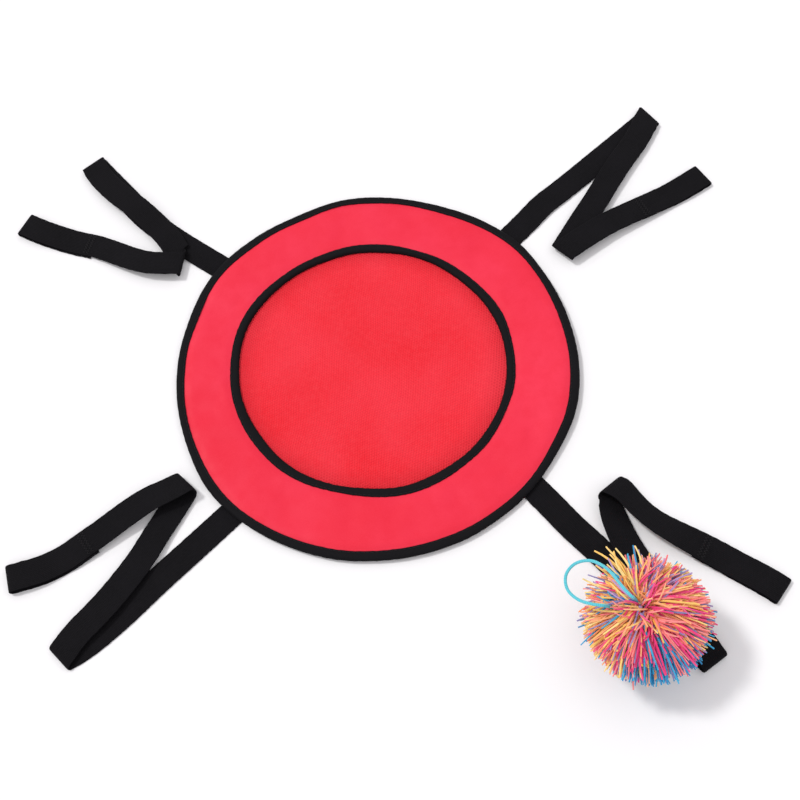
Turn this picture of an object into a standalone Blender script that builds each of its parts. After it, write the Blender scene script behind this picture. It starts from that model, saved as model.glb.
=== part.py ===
"""Hand-held roundnet set: a soft bounce disc with a netted centre, four
elastic straps that lie folded in three and end in sewn hand loops, and a
rubber-strand ball with a finger loop.

Metres, +Z up.  The set lies flat; front is -Y and left is -X.  The origin is
the centre of the net's top face.
"""
import math

import bmesh
import bpy
from mathutils import Vector

UP = Vector((0, 0, 1))

# ------------------------------------------------------------ disc sizes
DISC_R = 0.150            # outer radius, over the edge binding
WINDOW_R = 0.0990         # radius of the net that shows
TRIM_OUT_R = 0.1046       # outer edge of the inner binding tape
EDGE_IN_R = 0.1443        # inner edge of the outer binding tape
TAPE_T = 0.0005           # binding tape thickness
TRIM_CHAMFER = 0.0002     # on the upper inner tape, at the window's edge
PAD_T = 0.0022            # foam ring thickness
PAD_CHAMFER = 0.0004
GAP = 0.0002              # clearance between sewn layers
RING_STEPS = 72           # steps round the disc

NET_T = 0.0005
NET_HEIGHT = 0.00145      # from the ground to the net's underside
NET_RIM_INSET = 0.0006    # net's rim inside the inner binding's outer edge
NET_RIM_DIP = 0.00012     # how far the rim's top is pressed down
NET_SLOPE_START = 0.0006  # the slope down to the rim, measured in from the window's edge
NET_SLOPE_END = 0.0003

THREAD_R = 0.00022
STITCH_INSET = 0.0012     # ring stitch, in from the tape's edge
STITCH_LIFT = 0.00015     # clearance under a ring stitch

# layer heights
GROUND = -(NET_HEIGHT + NET_T)
PAD_BOTTOM = GAP
PAD_TOP = PAD_BOTTOM + PAD_T
TOP_TAPE_BOTTOM = PAD_TOP + GAP
TOP_TAPE_TOP = TOP_TAPE_BOTTOM + TAPE_T
EDGE_TAPE_BOTTOM = PAD_BOTTOM - GAP - TAPE_T
LOWER_TRIM_TOP = -NET_T - GAP

# ------------------------------------------------------------ strap sizes
STRAP_W = 0.020
STRAP_T = 0.0012
SEAM_OUT = 0.0025         # hinge line beyond the disc's edge
TAB_LEN = 0.021           # strap end sewn under the disc
TAB_SETBACK = 0.00095     # tab's end short of the hinge line
LEG_START = 0.00035       # inner leg's start past the hinge line
LEG_PITCH = 0.0034        # height from one folded leg to the next
END_GAP = 0.0003          # clearance at a fold
FOLD_STEPS = 8

LOOP_LEN = 0.058          # flat length of a hand loop
LOOP_DROP = 0.0025        # lower ply under upper ply in a hand loop
LOOP_TURN_STEPS = 6
LOOP_RISE_START = 0.012   # where the lower ply starts to rise, out from the seam
LAP_START = 0.004         # where it meets the upper ply, out from the seam
LAP = 0.010               # sewn overlap that closes a hand loop
LAP_GAP = 0.0003          # clearance in the overlap

TACK_POINTS = 13          # corners of the zigzag
TACK_INSET = 0.001        # zigzag's middle line, in from the seam
TACK_SWING = 0.0016       # each way from that line
TACK_SPAN = 0.85          # share of the strap's width
TACK_LIFT = 0.0003        # clearance under the thread

# plan of each folded strap: azimuth of its seam on the disc (degrees), then
# (x, y) of the middle of the far fold, of the near fold and of the loop's tip
STRAPS = {
    "front_left": (-138.3, (-0.2342, -0.1883), (-0.1422, -0.0743), (-0.2694, -0.1314)),
    "back_left": (135.9, (-0.2074, 0.2186), (-0.1380, 0.1111), (-0.2626, 0.1635)),
    "back_right": (40.0, (0.2465, 0.1943), (0.1546, 0.0760), (0.2761, 0.1275)),
    "front_right": (-47.1, (0.1988, -0.2479), (0.1539, -0.1175), (0.2539, -0.2113)),
}

# ------------------------------------------------------------ ball sizes
BALL_R = 0.0435           # reach of the rubber strands
VALLEY_R = 0.0285         # depth between tufts
CORE_ROOM_R = 0.0072      # hollow round the tied middle
CORE_GAP = 0.0004         # clearance between the middle and the strands
BALL_CENTRE = Vector((0.1541, -0.2248, 0.0441 + GROUND))
BALL_COLS, BALL_ROWS = 36, 18
CORE_COLS, CORE_ROWS = 16, 10
WEDGE_GAP = 0.00016       # trimmed off each flat side of a wedge

CORD_R = 0.0011           # finger loop cord
CORD_LIFT = 0.0012        # clearance between cord and strands
CORD_POINTS = 24
LOOP_CORD_L = 0.046       # finger loop length
LOOP_CORD_W = 0.034       # finger loop width before the root is pinched
ROOT_PINCH = 0.35         # share of the width left at the root
PINCH_RATE = 0.7          # how soon along the loop the width opens out

# ------------------------------------------------------------ finishes
# (base colour, roughness)
BLACK = (0.010, 0.009, 0.011)
FOAM = ((0.90, 0.052, 0.092), 0.55)
TAPE = (BLACK, 0.8)
ELASTIC = (BLACK, 0.82)
NET = ((0.87, 0.040, 0.052), 0.7)
THREAD = ((0.022, 0.020, 0.022), 0.6)
CORE = ((0.85, 0.30, 0.25), 0.6)
CORD = ((0.06, 0.62, 0.72), 0.55)
STRAND_ROUGHNESS = 0.5

# wedges of strands: name, azimuth where the wedge starts (degrees), colour
WEDGES = (
    ("yellow", 160, (0.98, 0.60, 0.09)),
    ("orange", 100, (0.95, 0.36, 0.12)),
    ("salmon", 40, (0.96, 0.20, 0.20)),
    ("magenta", -20, (0.83, 0.03, 0.18)),
    ("blue", -80, (0.02, 0.28, 0.66)),
    ("lilac", -140, (0.42, 0.22, 0.62)),
)


# ------------------------------------------------------------ shared helpers
def new_collection(name):
    collection = bpy.data.collections.new(name)
    bpy.context.scene.collection.children.link(collection)
    return collection


def new_material(name, finish):
    colour, roughness = finish
    mat = bpy.data.materials.new(name)
    mat.use_nodes = True
    shader = mat.node_tree.nodes["Principled BSDF"]
    shader.inputs["Base Color"].default_value = (*colour, 1.0)
    shader.inputs["Roughness"].default_value = roughness
    mat.diffuse_color = (*colour, 1.0)
    return mat


def new_object(name, data, finish, parent, origin=Vector()):
    """Link an object whose data is already about its own world origin."""
    ob = bpy.data.objects.new(name, data)
    parts.objects.link(ob)
    data.materials.append(new_material(name + "_mat", finish))
    ob["origin_world"] = tuple(origin)
    ob.parent = parent
    ob.location = origin - Vector(parent["origin_world"])
    return ob


def to_mesh(bm, name):
    """Turn a bmesh into a mesh and free it."""
    mesh = bpy.data.meshes.new(name)
    bm.to_mesh(mesh)
    bm.free()
    return mesh


def turned(name, profile, finish, closed=True):
    """(radius, z) profile swept once round Z: closed for a ring, or open from
    the axis back to the axis for a disc."""
    bm = bmesh.new()
    verts = [bm.verts.new((radius, 0.0, z)) for radius, z in profile]
    for i in range(len(verts) if closed else len(verts) - 1):
        bm.edges.new((verts[i], verts[(i + 1) % len(verts)]))
    ob = new_object(name, to_mesh(bm, name), finish, root)
    screw = ob.modifiers.new("turn", "SCREW")
    screw.axis = "Z"
    screw.angle = 2 * math.pi
    screw.steps = RING_STEPS
    screw.render_steps = RING_STEPS
    screw.use_merge_vertices = True
    screw.merge_threshold = 1e-5
    screw.use_smooth_shade = True


def wire(name, points, radius, finish, parent, origin=Vector(), cyclic=False, roundness=1):
    """Round thread through world points, as a poly curve with a bevel."""
    curve = bpy.data.curves.new(name, "CURVE")
    curve.dimensions = "3D"
    curve.bevel_depth = radius
    curve.bevel_resolution = roundness
    curve.resolution_u = 1
    curve.render_resolution_u = 0
    curve.use_fill_caps = True
    spline = curve.splines.new("POLY")
    spline.points.add(len(points) - 1)
    for spline_point, point in zip(spline.points, points):
        spline_point.co = (*(Vector(point) - origin), 1.0)
    spline.use_cyclic_u = cyclic
    new_object(name, curve, finish, parent, origin)


def ribbon(name, stations, parent, origin):
    """Elastic through (middle, half-width vector) stations, then Solidify."""
    bm = bmesh.new()
    last = None
    for middle, half in stations:
        pair = (bm.verts.new(middle - half - origin), bm.verts.new(middle + half - origin))
        if last:
            bm.faces.new((last[0], pair[0], pair[1], last[1]))
        last = pair
    ob = new_object(name, to_mesh(bm, name), ELASTIC, parent, origin)
    solidify = ob.modifiers.new("thickness", "SOLIDIFY")
    solidify.thickness = STRAP_T
    solidify.offset = 0.0
    solidify.use_even_offset = True
    return ob


# ------------------------------------------------------------ disc
def foam_ring():
    """Rectangular section with chamfered corners."""
    inner = WINDOW_R + TAPE_T + GAP
    outer = DISC_R - TAPE_T - GAP
    cut = PAD_CHAMFER
    turned("neoprene_ring", [
        (outer, PAD_TOP - cut), (outer, PAD_BOTTOM + cut),
        (outer - cut, PAD_BOTTOM), (inner + cut, PAD_BOTTOM),
        (inner, PAD_BOTTOM + cut), (inner, PAD_TOP - cut),
        (inner + cut, PAD_TOP), (outer - cut, PAD_TOP)], FOAM)


def outer_binding():
    """One tape folded over the foam's outer edge: a C open to the centre."""
    top, bottom = TOP_TAPE_TOP, EDGE_TAPE_BOTTOM
    skin_r = DISC_R - TAPE_T
    turned("outer_binding", [
        (skin_r, top), (DISC_R, top - TAPE_T),
        (DISC_R, bottom + TAPE_T), (skin_r, bottom),
        (EDGE_IN_R, bottom), (EDGE_IN_R, bottom + TAPE_T),
        (skin_r, bottom + TAPE_T), (skin_r, top - TAPE_T),
        (EDGE_IN_R, top - TAPE_T), (EDGE_IN_R, top)], TAPE)


def inner_bindings():
    # the upper tape lies on the foam and turns down over its cut edge
    turned("inner_binding_top", [
        (TRIM_OUT_R, TOP_TAPE_TOP), (TRIM_OUT_R, TOP_TAPE_BOTTOM),
        (WINDOW_R + TAPE_T, TOP_TAPE_BOTTOM), (WINDOW_R + TAPE_T, PAD_BOTTOM),
        (WINDOW_R, PAD_BOTTOM), (WINDOW_R, TOP_TAPE_TOP - TRIM_CHAMFER),
        (WINDOW_R + TRIM_CHAMFER, TOP_TAPE_TOP)], TAPE)
    # the lower tape clamps the net's rim from below
    bottom = LOWER_TRIM_TOP - TAPE_T
    turned("inner_binding_bottom", [
        (TRIM_OUT_R, LOWER_TRIM_TOP), (TRIM_OUT_R, bottom),
        (WINDOW_R, bottom), (WINDOW_R, LOWER_TRIM_TOP)], TAPE)


def net():
    """Thin round sheet whose rim is pressed flatter under the foam ring."""
    rim_r = TRIM_OUT_R - NET_RIM_INSET
    turned("mesh_net", [
        (0.0, 0.0), (WINDOW_R - NET_SLOPE_START, 0.0),
        (WINDOW_R - NET_SLOPE_END, -NET_RIM_DIP), (rim_r, -NET_RIM_DIP),
        (rim_r, -NET_T), (0.0, -NET_T)], NET, closed=False)


def ring_stitch(name, radius):
    """Thread that runs round the top of a binding tape."""
    z = TOP_TAPE_TOP + STITCH_LIFT + THREAD_R
    angles = [2 * math.pi * i / RING_STEPS for i in range(RING_STEPS)]
    points = [(radius * math.cos(angle), radius * math.sin(angle), z) for angle in angles]
    wire(name, points, THREAD_R, THREAD, root, cyclic=True)


# ------------------------------------------------------------ elastic straps
def square_half(along):
    """Half-width vector of a band cut square, to the left of its run."""
    return UP.cross(along) * (STRAP_W / 2)


def mitred_half(fold_line, along):
    """Half-width vector along a fold line, to the left of the band's run."""
    return fold_line * (STRAP_W / 2 / fold_line.dot(UP.cross(along)))


def fold_clearance(fold_line, along):
    """Step along the band that clears the fold line by END_GAP."""
    normal = fold_line.cross(UP).normalized()
    return along * (END_GAP / abs(normal.dot(along)))


def fold(name, centre, fold_line, along, parent):
    """Half-round turn of a band that arrives along a direction."""
    outward = fold_line.cross(UP).normalized()
    if outward.dot(along) < 0:
        outward = -outward
    half = fold_line * (STRAP_W / 2 / abs(fold_line.dot(UP.cross(along))))
    radius = LEG_PITCH / 2
    stations = []
    for i in range(FOLD_STEPS + 1):
        angle = math.pi * (i / FOLD_STEPS - 0.5)
        offset = outward * (radius * math.cos(angle)) + UP * (radius * math.sin(angle))
        stations.append((centre + offset, half))
    ribbon(name, stations, parent, centre)


def hand_loop(side, start, first_station, along, length, parent, origin):
    """Outer leg and its loop: out to the tip, round, and back under itself."""
    half = square_half(along)
    seam = length - LOOP_LEN
    radius = LOOP_DROP / 2
    turn = length - radius - STRAP_T / 2
    lap_drop = STRAP_T + LAP_GAP
    # (distance along the leg, drop below it)
    path = [(seam, 0.0)]
    for i in range(LOOP_TURN_STEPS + 1):
        angle = math.pi * (i / LOOP_TURN_STEPS - 0.5)
        path.append((turn + radius * math.cos(angle), radius + radius * math.sin(angle)))
    path += [(seam + LOOP_RISE_START, LOOP_DROP),
             (seam + LAP_START, lap_drop),
             (seam + LAP_START - LAP, lap_drop)]
    stations = [first_station]
    stations += [(start + along * reach - UP * drop, half) for reach, drop in path]
    loop = ribbon(side + "_hand_loop", stations, parent, origin)

    # zigzag of thread that closes the loop
    lift = UP * (STRAP_T / 2 + TACK_LIFT + THREAD_R)
    zigzag = []
    for i in range(TACK_POINTS):
        sideways = (i / (TACK_POINTS - 1) - 0.5) * 2 * TACK_SPAN
        reach = seam - TACK_INSET + (TACK_SWING if i % 2 else -TACK_SWING)
        zigzag.append(start + along * reach + half * sideways + lift)
    wire(side + "_loop_tack", zigzag, THREAD_R, THREAD, loop, origin)


def strap(side, azimuth, far_xy, near_xy, tip_xy):
    angle = math.radians(azimuth)
    hinge = Vector((math.cos(angle), math.sin(angle), 0)) * (DISC_R + SEAM_OUT)
    far, near, tip = (Vector((*xy, 0.0)) for xy in (far_xy, near_xy, tip_xy))
    inner_dir = (far - hinge).normalized()
    middle_dir = (near - far).normalized()
    outer_dir = (tip - near).normalized()
    far_line = (inner_dir + middle_dir).normalized()
    near_line = (middle_dir + outer_dir).normalized()

    # the inner leg lies on the ground, the others stack above it
    inner_up, middle_up, outer_up = (
        UP * (GROUND + STRAP_T / 2 + LEG_PITCH * i) for i in range(3))
    seam_pt = hinge + inner_up
    far_pt = far + (inner_up + middle_up) / 2
    near_pt = near + (middle_up + outer_up) / 2

    # end of the elastic, sewn flat under the disc's edge
    half = square_half(inner_dir)
    ribbon(side + "_root_tab",
           [(seam_pt - inner_dir * (TAB_LEN + TAB_SETBACK), half),
            (seam_pt - inner_dir * TAB_SETBACK, half)], root, seam_pt)
    # from the disc to the far fold
    inner_leg = ribbon(
        side + "_inner_leg",
        [(seam_pt + inner_dir * LEG_START, half),
         (far + inner_up - fold_clearance(far_line, inner_dir),
          mitred_half(far_line, inner_dir))], root, seam_pt)
    fold(side + "_far_fold", far_pt, far_line, inner_dir, inner_leg)
    # back from the far fold to the near fold
    middle_leg = ribbon(
        side + "_middle_leg",
        [(far + middle_up + fold_clearance(far_line, middle_dir),
          mitred_half(far_line, middle_dir)),
         (near + middle_up - fold_clearance(near_line, middle_dir),
          mitred_half(near_line, middle_dir))], inner_leg, far_pt)
    fold(side + "_near_fold", near_pt, near_line, middle_dir, middle_leg)
    # out again to the tip
    start = near + outer_up
    first_station = (start + fold_clearance(near_line, outer_dir),
                     mitred_half(near_line, outer_dir))
    hand_loop(side, start, first_station, outer_dir, (tip - near).length, middle_leg, near_pt)


# ------------------------------------------------------------ strand ball
def core_sphere(name, radius):
    bm = bmesh.new()
    bmesh.ops.create_uvsphere(bm, u_segments=CORE_COLS, v_segments=CORE_ROWS, radius=radius)
    return to_mesh(bm, name)


def ball_core():
    mesh = core_sphere("ball_core", CORE_ROOM_R - CORE_GAP)
    mesh.shade_smooth()
    return new_object("ball_core", mesh, CORE, root, BALL_CENTRE)


def core_cutter():
    """Helper that hollows the strands round the core."""
    ob = bpy.data.objects.new("core_cutter", core_sphere("core_cutter", CORE_ROOM_R))
    cutters.objects.link(ob)
    ob.location = BALL_CENTRE
    ob.hide_render = True
    ob.display_type = "WIRE"
    return ob


def strand_wedge(tone, start_azimuth, colour, core, cutter):
    """Spiky sphere cut down to one upright wedge, with room for the core."""
    name = "ball_strands_" + tone
    bm = bmesh.new()
    bmesh.ops.create_uvsphere(bm, u_segments=BALL_COLS, v_segments=BALL_ROWS, radius=BALL_R)
    for vert in bm.verts:
        x, y, z = vert.co
        col = round(math.atan2(y, x) / (2 * math.pi / BALL_COLS))
        row = round(math.acos(max(-1, min(1, z / BALL_R))) / (math.pi / BALL_ROWS))
        # a tuft stands where both column and row are odd
        if col % 2 == 0 or row % 2 == 0:
            vert.co = vert.co * (VALLEY_R / BALL_R)

    start = math.radians(start_azimuth)
    end = start + 2 * math.pi / len(WEDGES)
    for angle, sign in ((start, 1), (end, -1)):
        # keep the side of the plane that lies inside the wedge
        inward = Vector((-math.sin(angle), math.cos(angle), 0)) * sign
        bmesh.ops.bisect_plane(bm, geom=bm.verts[:] + bm.edges[:] + bm.faces[:], dist=1e-7,
                               plane_co=inward * WEDGE_GAP, plane_no=inward,
                               clear_inner=True)
        rim = [edge for edge in bm.edges if edge.is_boundary]
        bmesh.ops.holes_fill(bm, edges=rim, sides=0)
    bmesh.ops.triangulate(bm, faces=bm.faces[:])
    bmesh.ops.recalc_face_normals(bm, faces=bm.faces[:])

    finish = (colour, STRAND_ROUGHNESS)
    ob = new_object(name, to_mesh(bm, name), finish, core, BALL_CENTRE)
    boolean = ob.modifiers.new("core_room", "BOOLEAN")
    boolean.operation = "DIFFERENCE"
    boolean.object = cutter


def finger_loop(core):
    """Closed cord that leaves the ball near its crown and lies out along the
    plane that touches the strands there."""
    normal = Vector((-0.32, 0.08, 0.945)).normalized()
    along = Vector((-0.74, 0.60, -0.30))
    along = (along - normal * along.dot(normal)).normalized()
    sideways = normal.cross(along)
    loop_root = BALL_CENTRE + normal * (BALL_R + CORD_R + CORD_LIFT)
    points = []
    for i in range(CORD_POINTS):
        angle = 2 * math.pi * i / CORD_POINTS
        reach = LOOP_CORD_L * 0.5 * (1 - math.cos(angle))
        opening = math.sin(min(math.pi / 2, reach / LOOP_CORD_L * math.pi * PINCH_RATE))
        width = LOOP_CORD_W * (ROOT_PINCH + (1 - ROOT_PINCH) * opening)
        points.append(loop_root + along * reach + sideways * (width / 2 * math.sin(angle)))
    wire("finger_loop_cord", points, CORD_R, CORD, core, loop_root, cyclic=True, roundness=2)


# ------------------------------------------------------------ build
for old in list(bpy.data.objects):
    bpy.data.objects.remove(old, do_unlink=True)

parts = new_collection("roundnet_set")
cutters = new_collection("cutters")
root = bpy.data.objects.new("roundnet_set_root", None)
parts.objects.link(root)
root["origin_world"] = (0.0, 0.0, 0.0)

foam_ring()
outer_binding()
inner_bindings()
net()
ring_stitch("outer_stitch", EDGE_IN_R + STITCH_INSET)
ring_stitch("inner_stitch", TRIM_OUT_R - STITCH_INSET)

for strap_side, plan in STRAPS.items():
    strap(strap_side, *plan)

tied_core = ball_core()
room_cutter = core_cutter()
for wedge in WEDGES:
    strand_wedge(*wedge, tied_core, room_cutter)
finger_loop(tied_core)
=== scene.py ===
"""A round red pad with a net window, four folded elastic straps and a ball of rubber strands.

The pad lies flat on the floor round the origin, with the net's top face at z = 0. Front is -Y,
left is -X. Straps leave the pad at its four diagonals; the ball rests on the front right one.
Shapes are worked out in mm and turned into metres when a mesh is built.
"""
import itertools
import math

import bpy
import numpy as np
from mathutils import Matrix, Vector


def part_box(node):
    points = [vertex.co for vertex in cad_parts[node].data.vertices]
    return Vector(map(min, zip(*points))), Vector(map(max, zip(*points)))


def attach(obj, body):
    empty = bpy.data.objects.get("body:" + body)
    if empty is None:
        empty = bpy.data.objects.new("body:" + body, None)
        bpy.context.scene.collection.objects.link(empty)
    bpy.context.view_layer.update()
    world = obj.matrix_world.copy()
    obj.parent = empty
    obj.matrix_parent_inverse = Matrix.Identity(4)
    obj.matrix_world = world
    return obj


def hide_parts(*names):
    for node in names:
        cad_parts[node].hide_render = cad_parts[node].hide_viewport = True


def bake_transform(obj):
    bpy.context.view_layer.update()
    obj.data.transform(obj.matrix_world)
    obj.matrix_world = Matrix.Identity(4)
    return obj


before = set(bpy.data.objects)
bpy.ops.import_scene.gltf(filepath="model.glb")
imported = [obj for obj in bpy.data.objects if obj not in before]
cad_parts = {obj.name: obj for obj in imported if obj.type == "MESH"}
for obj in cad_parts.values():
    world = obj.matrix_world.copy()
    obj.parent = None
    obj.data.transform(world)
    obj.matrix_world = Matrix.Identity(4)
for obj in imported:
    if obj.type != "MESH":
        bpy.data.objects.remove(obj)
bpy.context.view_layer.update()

scene = bpy.context.scene

MM = 0.001                          # metres in a mm
GROUND = -1.95                      # z of the floor
UP = np.array([0.0, 0.0, 1.0])
SEED = 7421
TURN = 2 * np.pi
CAMERA_AT = np.array([16.47, -418.52, 811.38])
CAMERA_AIM = np.array([16.47, -29.07, 0.0])


# ------------------------------------------------------------------ small maths
def unit(v):
    v = np.asarray(v, float)
    length = np.linalg.norm(v, axis=-1, keepdims=True)
    return v / np.where(length < 1e-12, 1, length)


def flat(v):
    """Direction of v in plan."""
    return unit(np.array([v[0], v[1], 0.0]))


def left_of(direction):
    return np.cross(UP, direction)


def facing(v, reference):
    """v or its opposite, whichever points the way of the reference."""
    return -v if v @ reference < 0 else v


def sign(value):
    return 1.0 if value > 0 else -1.0


def ease(t):
    t = np.clip(t, 0, 1)
    return t * t * (3 - 2 * t)


def path_length(points):
    """Distance of each point from the first, along the points."""
    return np.concatenate([[0], np.cumsum(np.linalg.norm(np.diff(points, axis=0), axis=1))])


def soften(values, passes):
    """Evens out a run of values in place; the ends stay."""
    for _ in range(passes):
        values[1:-1] = 0.25 * values[:-2] + 0.5 * values[1:-1] + 0.25 * values[2:]


def tangents(points):
    return unit(np.gradient(points, axis=0))


def draw_waves(rng, shortest, longest, terms):
    """Wave numbers for wavelengths between shortest and longest, mm."""
    return TURN / np.exp(rng.uniform(np.log(shortest), np.log(longest), terms))


def draw_phases(rng, terms):
    """Phases, and amplitudes whose squares add up to 1."""
    phase = rng.uniform(0, TURN, terms)
    size = rng.uniform(0.5, 1.0, terms)
    return phase, size / np.sqrt((size ** 2).sum())


def cosine_sum(rng, waves):
    phase, size = draw_phases(rng, len(waves))
    return lambda x: (size * np.cos(x[..., None] * waves + phase)).sum(-1)


def line_noise(seed, shortest, longest, terms=9):
    """Smooth noise along a line, wavelengths in mm."""
    rng = np.random.default_rng(seed)
    return cosine_sum(rng, draw_waves(rng, shortest, longest, terms))


def ring_noise(seed, fewest, most, terms=14):
    """Periodic noise of an angle, with fewest..most whole waves per turn."""
    rng = np.random.default_rng(seed)
    return cosine_sum(rng, rng.integers(fewest, most + 1, terms))


def field_noise(seed, shortest, longest, terms=24):
    """Smooth noise over the plane, wavelengths in mm."""
    rng = np.random.default_rng(seed)
    waves = draw_waves(rng, shortest, longest, terms)
    heading = rng.uniform(0, TURN, terms)
    phase, size = draw_phases(rng, terms)
    wave_x, wave_y = waves * np.cos(heading), waves * np.sin(heading)
    return lambda x, y: (size * np.cos(x[..., None] * wave_x + y[..., None] * wave_y
                                       + phase)).sum(-1)


def smooth_line(points, step):
    """Centripetal curve through the points, resampled to even steps."""
    p = np.asarray(points, float)
    ext = np.vstack([2 * p[0] - p[1], p, 2 * p[-1] - p[-2]])
    chords = np.linalg.norm(np.diff(ext, axis=0), axis=1)
    knots = np.concatenate([[0], np.cumsum(chords ** 0.5)])
    pieces = []
    for i in range(1, len(ext) - 2):
        p0, p1, p2, p3 = ext[i - 1:i + 3]
        t0, t1, t2, t3 = knots[i - 1:i + 3]
        t = np.linspace(t1, t2, 24, endpoint=(i == len(ext) - 3))[:, None]
        a1 = (t1 - t) / (t1 - t0) * p0 + (t - t0) / (t1 - t0) * p1
        a2 = (t2 - t) / (t2 - t1) * p1 + (t - t1) / (t2 - t1) * p2
        a3 = (t3 - t) / (t3 - t2) * p2 + (t - t2) / (t3 - t2) * p3
        b1 = (t2 - t) / (t2 - t0) * a1 + (t - t0) / (t2 - t0) * a2
        b2 = (t3 - t) / (t3 - t1) * a2 + (t - t1) / (t3 - t1) * a3
        pieces.append((t2 - t) / (t2 - t1) * b1 + (t - t1) / (t2 - t1) * b2)
    dense = np.vstack(pieces)
    s = path_length(dense)
    wanted = np.linspace(0, s[-1], max(4, int(round(s[-1] / step)) + 1))
    line = sample(wanted, s, dense)
    soften(line, 3)
    return line


def sample(wanted, s, points):
    """Points at the wanted path lengths, given points at path lengths s."""
    return np.stack([np.interp(wanted, s, points[:, axis]) for axis in range(3)], -1)


# ------------------------------------------------------------------ meshes
def build(name, verts_mm, faces, material, uv=None, sharp=None, attrs=None):
    """A closed mesh piece, turned outside out. uv is one pair for each face corner, in mm;
    attrs are values for each vertex; sharp is the angle in degrees that stays an edge."""
    verts = np.asarray(verts_mm, float) * MM
    triangles = [(f[0], f[i], f[i + 1]) for f in faces for i in range(1, len(f) - 1)]
    a, b, c = verts[np.array(triangles)].transpose(1, 0, 2)
    if (a * np.cross(b, c)).sum() < 0:
        if uv is not None:
            turned, at = [], 0
            for face in faces:
                turned.extend(reversed(uv[at:at + len(face)]))
                at += len(face)
            uv = turned
        faces = [face[::-1] for face in faces]
    mesh = bpy.data.meshes.new(name)
    mesh.from_pydata(verts.tolist(), [], faces)
    mesh.polygons.foreach_set("use_smooth", [True] * len(mesh.polygons))
    if uv is not None:
        layer = mesh.uv_layers.new(name="UVMap")
        layer.data.foreach_set("uv", np.asarray(uv, np.float32).ravel())
    for key, values in (attrs or {}).items():
        attribute = mesh.attributes.new(key, "FLOAT", "POINT")
        attribute.data.foreach_set("value", np.asarray(values, np.float32))
    mesh.update()
    if sharp is not None:
        mesh.set_sharp_from_angle(angle=math.radians(sharp))
    ob = bpy.data.objects.new(name, mesh)
    scene.collection.objects.link(ob)
    mesh.materials.append(material)
    return ob


def build_sweep(name, points, along, around, material, sharp, closed=False):
    """A section carried along a path. points is (stations, section points, 3), the section a
    closed loop; along and around are the uv lengths. An open sweep gets caps, each a row of
    faces between the section's two sides."""
    n, k, _ = points.shape
    spans = n if closed else n - 1
    i = np.repeat(np.arange(spans), k)
    j = np.tile(np.arange(k), spans)
    i2, j2 = (i + 1) % n, (j + 1) % k
    faces = np.stack([i * k + j, i2 * k + j, i2 * k + j2, i * k + j2], -1).tolist()
    corners = ((i, j), (i + 1, j), (i + 1, j + 1), (i, j + 1))
    uv = np.stack([np.stack([along[a], around[b]], -1) for a, b in corners], 1)
    uv = uv.reshape(-1, 2).tolist()
    if not closed:
        for station, order in ((0, -1), (n - 1, 1)):
            for q in range(k // 2):
                corner_loop = dict.fromkeys([q, q + 1, (k - q - 1) % k, (k - q) % k])
                corner_loop = list(corner_loop)[::order]
                faces.append([station * k + c for c in corner_loop])
                uv.extend([[along[station], around[c]] for c in corner_loop])
    return build(name, points.reshape(-1, 3), faces, material, uv, sharp)


def build_threads(name, lines, radii, sideways, upwards, pitch):
    """Short round threads with flat ends. lines is (threads, stations, 3), radii one for each
    station, sideways and upwards the section's axes, pitch the uv length between stations."""
    sides = 6
    count, stations, _ = lines.shape
    angle = TURN * np.arange(sides + 1) / sides
    turn = angle[:-1, None]
    ring = np.cos(turn) * sideways[:, :, None] + np.sin(turn) * upwards
    verts = lines[:, :, None] + radii[:, None, None] * ring
    faces, uv = [], []
    for q in range(count):
        base = q * stations * sides
        for a in range(stations - 1):
            row, after = base + a * sides, base + (a + 1) * sides
            u0, u1 = a * pitch, (a + 1) * pitch
            for b in range(sides):
                b2 = (b + 1) % sides
                v0, v1 = angle[b], angle[b + 1]
                faces.append((row + b, after + b, after + b2, row + b2))
                uv += [(u0, v0), (u1, v0), (u1, v1), (u0, v1)]
        last = base + (stations - 1) * sides
        faces.append(tuple(range(base, base + sides)))
        faces.append(tuple(range(last + sides - 1, last - 1, -1)))
        uv += [(0, 0)] * (2 * sides)
    return build(name, verts.reshape(-1, 3), faces, THREAD, uv, sharp=60)


def join(ob, rides_on, node):
    """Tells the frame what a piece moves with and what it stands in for."""
    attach(ob, rides_on)
    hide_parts(node)


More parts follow.
